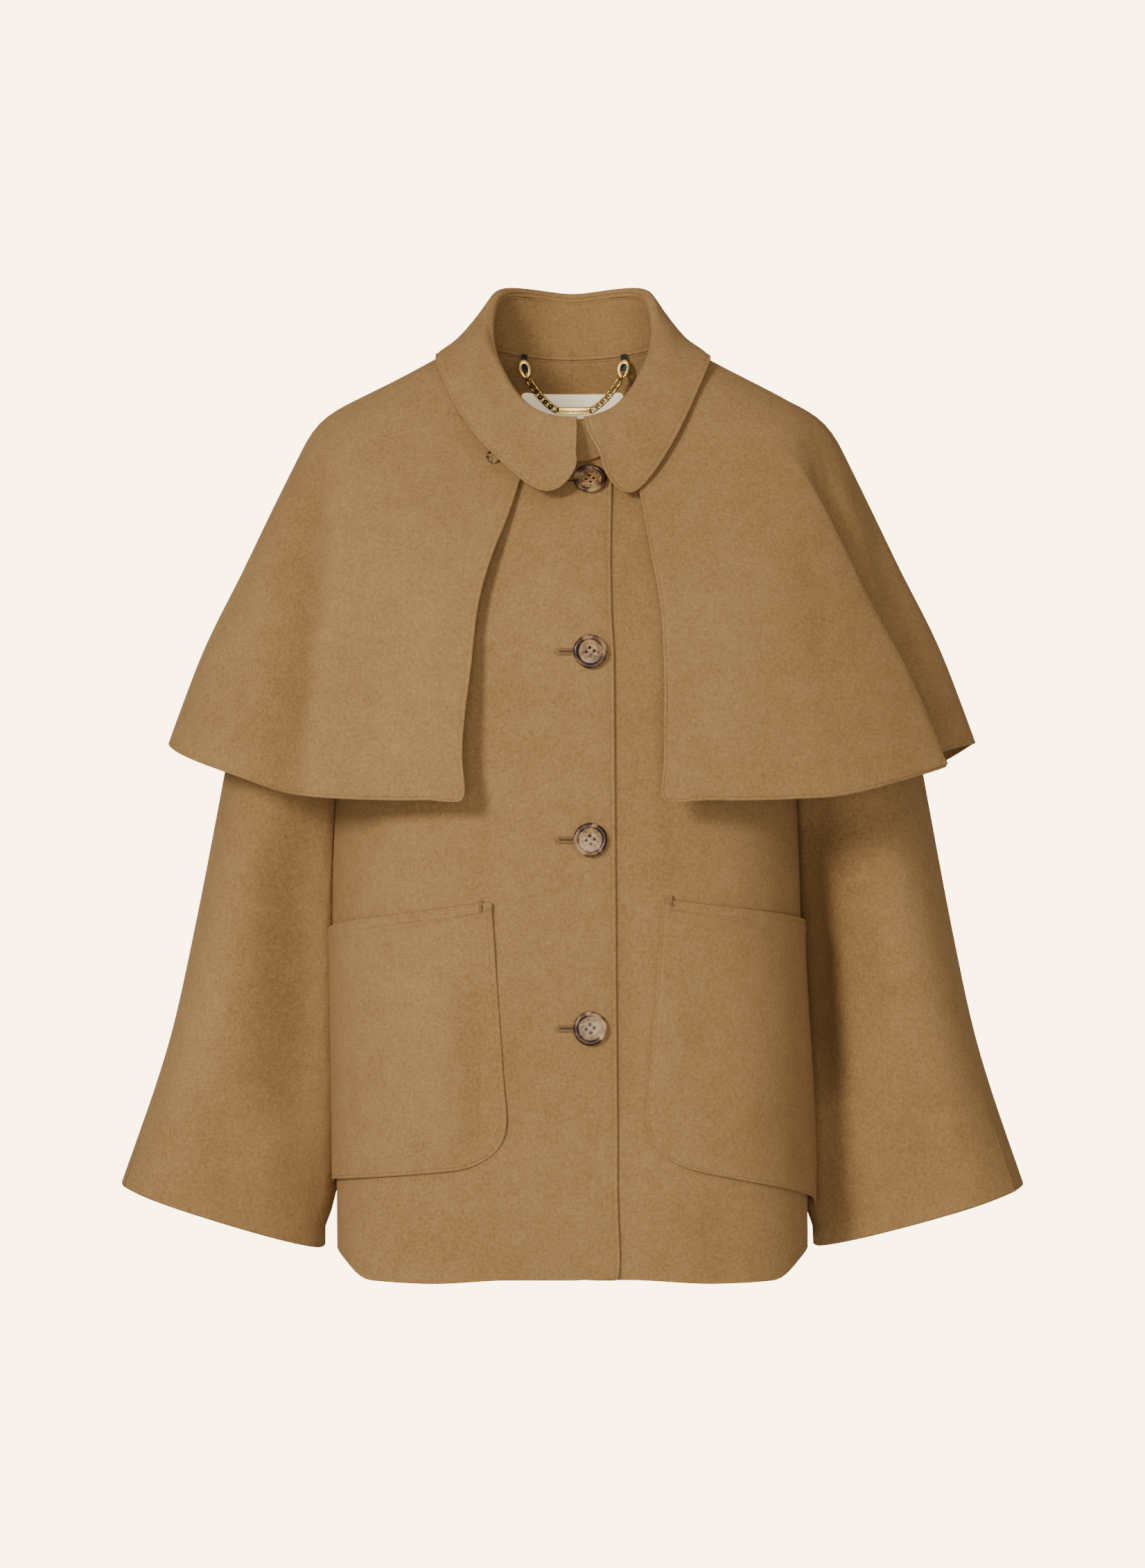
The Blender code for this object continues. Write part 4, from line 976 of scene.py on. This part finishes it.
# the dark and the light shade of each finish
WOOL = ((0.216, 0.116, 0.0395), (0.424, 0.249, 0.100))
GOLD = ((0.50, 0.32, 0.075), (0.80, 0.56, 0.17))
SATIN = ((0.93, 0.83, 0.60), (0.99, 0.91, 0.72))
BLACK = ((0.006, 0.006, 0.007), (0.022, 0.021, 0.022))
SEWN = ((0.230, 0.120, 0.038), (0.400, 0.225, 0.080))
# painted shadow: the shades of the dark strand in each buttonhole slit
SLIT_SHADOW = ((0.020, 0.010, 0.004), (0.050, 0.026, 0.010))
WARM_NAP = (0.80, 0.52, 0.26, 1)
# painted light: the colour of the glow that brightens the label, which is no lamp
SATIN_PAINTED_GLOW = (1.0, 0.83, 0.52, 1)
SATIN_PITCH = 0.22 * MM
RIBBON_PITCH = 0.4 * MM

# the horn: shades from dark to light over its rim and its disc, and the painted shade of its
# engraved cuts and its holes
RIM_SHADES = (
    (0.30, (0.030, 0.012, 0.006)),
    (0.48, (0.090, 0.038, 0.016)),
    (0.62, (0.240, 0.130, 0.058)),
    (0.85, (0.420, 0.270, 0.140)),
)
DISC_SHADES = (
    (0.24, (0.060, 0.024, 0.007)),
    (0.42, (0.190, 0.092, 0.030)),
    (0.62, (0.345, 0.200, 0.076)),
    (0.88, (0.520, 0.350, 0.165)),
)
CUT_AND_HOLE_PAINTED_SHADE = (0.035, 0.016, 0.008)

# where the disc passes into the rim, and the engraved ticks and line, in shares of the radius
RIM_FROM = 0.66
RIM_TO = 0.72
TICKS = 36.0
TICK_WIDTH = 0.14
TICK_BAND = (0.56, 0.055)
CUT_LINE = (0.445, 0.012)
CUT_PAINTED_SHADE_SHARE = 0.6


def socket_group(name, outputs):
    """An empty shader group with one vector going in and named values coming out."""
    group = bpy.data.node_groups.new(name, "ShaderNodeTree")
    group.interface.new_socket("Place", in_out="INPUT", socket_type="NodeSocketVector")
    for output in outputs:
        group.interface.new_socket(output, in_out="OUTPUT", socket_type="NodeSocketFloat")
    return group, group.nodes.new("NodeGroupInput"), group.nodes.new("NodeGroupOutput")


def set_inputs(tree, node, inputs):
    """Sets a node's inputs, by their names, to plain values or to other nodes' sockets."""
    for name, value in inputs.items():
        socket = node.inputs[name.replace("_", " ")]
        if isinstance(value, bpy.types.NodeSocket):
            tree.links.new(value, socket)
        else:
            socket.default_value = value


def add_node(tree, kind, **inputs):
    """A new shader node with its inputs set."""
    node = tree.nodes.new("ShaderNode" + kind)
    set_inputs(tree, node, inputs)
    return node


def noise(tree, place, scale, detail, roughness, distortion=0.0):
    """Cloudy noise over a place; a high scale gives fine grain."""
    return add_node(
        tree, "TexNoise", Scale=scale, Detail=detail, Roughness=roughness,
        Distortion=distortion, Vector=place,
    ).outputs["Fac"]


def worked(tree, operation, *values):
    """A number worked out from others, which are sockets or plain numbers."""
    node = tree.nodes.new("ShaderNodeMath")
    node.operation = operation
    for slot, value in enumerate(values):
        if isinstance(value, (int, float)):
            node.inputs[slot].default_value = value
        else:
            tree.links.new(value, node.inputs[slot])
    return node.outputs[0]


def sum_of(tree, parts, level):
    """level plus each part's difference from one half, times its weight."""
    total = level - 0.5 * sum(weight for _, weight in parts)
    for value, weight in parts:
        total = worked(tree, "MULTIPLY_ADD", value, weight, total)
    return total


def felt_group():
    """Felted surface: mottling of the dyed fibres, and the short nap."""
    group, start, end = socket_group("felted_surface", ("Mottle", "Nap"))
    place = start.outputs["Place"]
    broad = noise(group, place, 7.0, 2.0, 0.5)
    cloudy = noise(group, place, 55.0, 3.0, 0.6)
    speck = noise(group, place, 430.0, 4.0, 0.75, 0.5)
    fibre = noise(group, place, 1700.0, 3.0, 0.8, 1.2)
    mottle = sum_of(group, ((broad, 0.3), (cloudy, 0.4), (speck, 1.7), (fibre, 0.6)), 0.5)
    nap = sum_of(group, ((speck, 0.9), (fibre, 0.6), (cloudy, 0.5)), 0.5)
    set_inputs(group, end, {"Mottle": mottle, "Nap": nap})
    return group


def new_material(name, roughness, **sockets):
    """A material with its shader's own values set, and a place reader."""
    material = bpy.data.materials.new(name)
    material.use_nodes = True
    tree = material.node_tree
    shader = tree.nodes["Principled BSDF"]
    set_inputs(tree, shader, {"Roughness": roughness, **sockets})
    reader = add_node(tree, "TexCoord")
    return material, tree, shader, reader


def mixed(tree, share, first, second):
    """A colour between two, which are sockets or plain colours, by a share of the second."""
    mix = add_node(tree, "Mix")
    mix.data_type = "RGBA"
    for slot, colour in ((6, first), (7, second)):
        if isinstance(colour, tuple):
            mix.inputs[slot].default_value = (*colour, 1)
        else:
            tree.links.new(colour, mix.inputs[slot])
    tree.links.new(share, mix.inputs[0])
    return mix.outputs[2]


def kept_value(tree, name, socket):
    """What a piece's own attribute holds, as a socket."""
    reader = add_node(tree, "Attribute")
    reader.attribute_name = name
    return reader.outputs[socket]


def coloured(tree, shader, colour):
    """Gives a shader its colour."""
    set_inputs(tree, shader, {"Base Color": colour})


def bumped(tree, shader, height, strength, distance):
    """Fine relief on a shader's surface."""
    bump = add_node(tree, "Bump", Strength=strength, Distance=distance, Height=height)
    set_inputs(tree, shader, {"Normal": bump.outputs["Normal"]})


def felted(name, group, dark, light):
    """Dyed wool felt in two shades of one colour, with painted shade in the troughs and painted
    light on the ridges.
    """
    material, tree, shader, reader = new_material(
        name, 0.95, Sheen_Weight=0.12, Sheen_Roughness=0.5, Sheen_Tint=WARM_NAP,
        Specular_IOR_Level=0.12,
    )
    surface = tree.nodes.new("ShaderNodeGroup")
    surface.node_tree = group
    tree.links.new(reader.outputs["Object"], surface.inputs["Place"])
    # painted shade: the colour goes darker by each trough's depth and lighter by each ridge's
    # height
    painted_crease_shade = worked(tree, "MULTIPLY", kept_value(tree, "crease_shade", "Fac"), CREASE_PAINTED_SHADE)
    shade = worked(tree, "SUBTRACT", surface.outputs["Mottle"], painted_crease_shade)
    coloured(tree, shader, mixed(tree, shade, dark, light))
    bumped(tree, shader, surface.outputs["Nap"], 0.5, 0.5 * MM)
    return material


def ramp(tree, share, *stops):
    """Colours along a share, as (place, colour) stops."""
    node = add_node(tree, "ValToRGB", Fac=share)
    colours = node.color_ramp.elements
    for element, (place, colour) in zip(colours, (stops[0], stops[-1])):
        element.position = place
        element.color = (*colour, 1)
    for place, colour in stops[1:-1]:
        colours.new(place).color = (*colour, 1)
    return node.outputs["Color"]


def within(tree, value, middle, half_width):
    """1 where a value lies within a half width of a middle, and 0 elsewhere."""
    off = worked(tree, "ABSOLUTE", worked(tree, "SUBTRACT", value, middle))
    return worked(tree, "LESS_THAN", off, half_width)


def horn():
    """Polished horn in brown, tan and cream patches, with an engraved band of plain ticks, and
    painted shade in the cuts and holes.
    """
    material, tree, shader, _ = new_material(
        "tortoise_horn", 0.30, Coat_Weight=0.15, Coat_Roughness=0.10, Specular_IOR_Level=0.32
    )
    place = kept_value(tree, "spot", "Vector")
    patches = noise(tree, place, 0.8, 1.5, 0.5, 0.9)
    streaks = noise(tree, place, 2.6, 2.0, 0.55, 1.4)
    rim = ramp(tree, sum_of(tree, ((patches, 2.2), (streaks, 0.35)), 0.46), *RIM_SHADES)
    disc = ramp(tree, sum_of(tree, ((patches, 1.0), (streaks, 1.1)), 0.60), *DISC_SHADES)
    flat = add_node(tree, "VectorMath", Vector=place)
    flat.operation = "MULTIPLY"
    flat.inputs[1].default_value = (1, 1, 0)
    length = add_node(tree, "VectorMath", Vector=flat.outputs[0])
    length.operation = "LENGTH"
    reach = length.outputs["Value"]
    edge = add_node(tree, "MapRange", From_Min=RIM_FROM, From_Max=RIM_TO, Value=reach)
    patched = mixed(tree, edge.outputs[0], disc, rim)
    round_it = add_node(tree, "TexGradient", Vector=flat.outputs[0])
    round_it.gradient_type = "RADIAL"
    tick = worked(tree, "PINGPONG", worked(tree, "MULTIPLY", round_it.outputs["Fac"], TICKS), 0.5)
    tick = worked(tree, "LESS_THAN", tick, TICK_WIDTH)
    ticks = worked(tree, "MULTIPLY", tick, within(tree, reach, *TICK_BAND))
    cut = worked(tree, "MAXIMUM", ticks, within(tree, reach, *CUT_LINE))
    bumped(tree, shader, worked(tree, "MULTIPLY", cut, -1.0), 0.6, 0.12 * MM)
    # painted shade: the engraved cuts are coloured darker, and what is seen through the holes dark
    parts = add_node(tree, "SeparateXYZ", Vector=place)
    painted_hole_shade = worked(tree, "LESS_THAN", parts.outputs["Z"], -HOLE_SHADE_MARK / 2)
    dark = worked(tree, "MAXIMUM", worked(tree, "MULTIPLY", cut, CUT_PAINTED_SHADE_SHARE), painted_hole_shade)
    coloured(tree, shader, mixed(tree, dark, patched, CUT_AND_HOLE_PAINTED_SHADE))
    return material


def pale_gold():
    """Plated metal with fine wear."""
    material, tree, shader, reader = new_material("plated_gold", 0.26, Metallic=1.0)
    wear = noise(tree, reader.outputs["Object"], 900.0, 3.0, 0.6)
    coloured(tree, shader, mixed(tree, wear, *GOLD))
    tree.links.new(sum_of(tree, ((wear, 0.2),), 0.28), shader.inputs["Roughness"])
    bumped(tree, shader, wear, 0.12, 0.1 * MM)
    return material


def woven(name, dark, light, pitch, roughness, sheen, **sockets):
    """A fine woven ribbon or satin: threads both ways."""
    material, tree, shader, reader = new_material(
        name, roughness, Sheen_Weight=sheen, Sheen_Roughness=0.3, **sockets
    )
    place = reader.outputs["Object"]
    threads = []
    for direction in ("X", "Z"):
        wave = add_node(tree, "TexWave", Scale=0.314 / pitch, Distortion=0.4, Vector=place)
        wave.wave_type = "BANDS"
        wave.bands_direction = direction
        threads.append(wave.outputs["Fac"])
    cloudy = noise(tree, place, 140.0, 3.0, 0.6)
    weave = sum_of(tree, ((threads[0], 0.5), (threads[1], 0.5)), 0.5)
    shade = sum_of(tree, ((weave, 0.6), (cloudy, 0.8)), 0.5)
    coloured(tree, shader, mixed(tree, shade, dark, light))
    bumped(tree, shader, weave, 0.3, 0.15 * MM)
    return material


def sewing_thread(name, dark, light):
    """Spun thread: fine twist along it."""
    material, tree, shader, reader = new_material(
        name, 0.6, Sheen_Weight=0.15, Sheen_Roughness=0.4
    )
    twist = noise(tree, reader.outputs["Object"], 2600.0, 2.0, 0.6, 0.6)
    coloured(tree, shader, mixed(tree, twist, dark, light))
    bumped(tree, shader, twist, 0.3, 0.1 * MM)
    return material


# ------------------------------------ light, floor and camera

def make_camera():
    """The photo's camera, level with the middle of the picture."""
    lens = bpy.data.cameras.new("front_view")
    lens.sensor_width = 36
    lens.lens = 36 * -EYE.y / (PICTURE[1] * PIXEL)
    camera = placed("front_view", lens)
    camera.location = EYE
    camera.rotation_euler = (math.radians(90), 0, 0)
    bpy.context.scene.camera = camera


# round lights: name, place, where each one aims, size across and power
LAMPS = (
    ("key", (-1.8, -3.0, 0.75), (0, 0, -0.35), 0.8, 90),
    ("front", (0.1, -3.6, -0.7), (0, 0, -0.40), 1.6, 44),
    ("back", (-0.9, 3.4, 0.5), (0, 0, -0.35), 1.6, 60),
)

# the narrow light into the neck
GLEAM_FROM = (0.0, -2.9, -0.25)
GLEAM_AIM = (0, 0.06, -0.015)
GLEAM_POWER = 70
GLEAM_BEAM = math.radians(2.1)
GLEAM_SIZE = 0.05

# the glow of the room and floor as the jacket's light, and as the camera sees it
LIT = (1, 0.95, 0.89)
ROOM_LIGHT = 0.43
STUDIO = (1.0, 0.74, 0.50)
WALL_GLOW = 9.0
FLOOR_HALF = 12
FLOOR_CELLS = 4
FLOOR_LEVEL = -1.3


def hung_light(name, lamp, place, aim):
    """A light at a place, turned towards its aim."""
    light = placed(name, lamp)
    light.location = place
    light.rotation_euler = (Vector(aim) - Vector(place)).to_track_quat("-Z", "Y").to_euler()


def two_glows(owner, plain, kind, output):
    """Gives the world or the floor a bright glow for the camera, and a weak one as its light."""
    owner.use_nodes = True
    tree = owner.node_tree
    tree.nodes.remove(tree.nodes[plain])
    seen = add_node(tree, "LightPath").outputs["Is Camera Ray"]
    either = add_node(tree, "MixShader", Fac=seen)
    for slot, colour, strength in ((1, LIT, ROOM_LIGHT), (2, STUDIO, WALL_GLOW)):
        glow = add_node(tree, kind, Color=(*colour, 1), Strength=strength)
        tree.links.new(glow.outputs[0], either.inputs[slot])
    set_inputs(tree, tree.nodes[output], {"Surface": either.outputs[0]})


def make_lights():
    """Three round lights, and a narrow one that shines on the chain in the neck."""
    for name, place, aim, size, power in LAMPS:
        lamp = bpy.data.lights.new(name, "AREA")
        lamp.shape = "DISK"
        lamp.size = size
        lamp.energy = power
        hung_light(name, lamp, place, aim)
    gleam = bpy.data.lights.new("neck_gleam", "SPOT")
    gleam.energy = GLEAM_POWER
    gleam.spot_size = GLEAM_BEAM
    gleam.spot_blend = 1.0
    gleam.shadow_soft_size = GLEAM_SIZE
    hung_light("neck_gleam", gleam, GLEAM_FROM, GLEAM_AIM)


def make_studio():
    """A pale room with its lights and a plain floor."""
    world = bpy.data.worlds.new("pale_room")
    two_glows(world, "Background", "Background", "World Output")
    bpy.context.scene.world = world
    make_lights()
    shell = bmesh.new()
    bmesh.ops.create_grid(shell, x_segments=FLOOR_CELLS, y_segments=FLOOR_CELLS, size=FLOOR_HALF)
    bmesh.ops.translate(shell, verts=shell.verts, vec=(0, 0, FLOOR_LEVEL))
    mesh = bpy.data.meshes.new("floor")
    shell.to_mesh(mesh)
    shell.free()
    floor = placed("floor", mesh)
    material = bpy.data.materials.new("pale_floor")
    two_glows(material, "Principled BSDF", "Emission", "Material Output")
    mesh.materials.append(material)


# ------------------------------------ the jacket

make_camera()
make_studio()
FELT = felt_group()
wool = felted("camel_wool", FELT, *WOOL)
pieces = {name: cloth_piece(name, wool) for name in CUTS}

curved_hem(pieces["body_cloth"])
raised_throat(pieces["collar_stand_cloth"])
side_skin = Skin([pieces["body_cloth"]])
for name in ("sleeve_right_cloth", "sleeve_left_cloth"):
    pressed(pieces[name], side_skin)

horn_shell = horn()
gold = pale_gold()
# the label's emission is painted light that brightens it in the shade of the neck
satin = woven(
    "label_satin", *SATIN, SATIN_PITCH, 0.42, 0.4,
    Emission_Color=SATIN_PAINTED_GLOW, Emission_Strength=0.40,
)
ribbon = woven("tab_ribbon", *BLACK, RIBBON_PITCH, 0.6, 0.3)
thread = sewing_thread("camel_thread", *SEWN)
# the slit strands' painted shadow takes the thread's finish in darker shades
shadow = sewing_thread("slit_shade", *SLIT_SHADOW)

for count, node in enumerate(sorted(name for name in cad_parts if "button" in name)):
    button(node, count, horn_shell)
hanger_chain(gold)
label = laid_ribbon("label_satin_patch", "label", LABEL_BAND, satin)
for word in CHAIN_SIDES:
    laid_ribbon(f"tab_{word}_ribbon", f"tab_{word}", TAB_BAND, ribbon, TAB_SHARE)

body_skin = Skin([pieces["body_cloth"], pieces["pocket_right_cloth"], pieces["pocket_left_cloth"]])
corded("buttonholes", body_skin, thread, shadow)
for pocket, line in STITCHED.items():
    stitches(f"{pocket}_stitches", Skin([pieces[f"{pocket}_cloth"]]), line, thread)
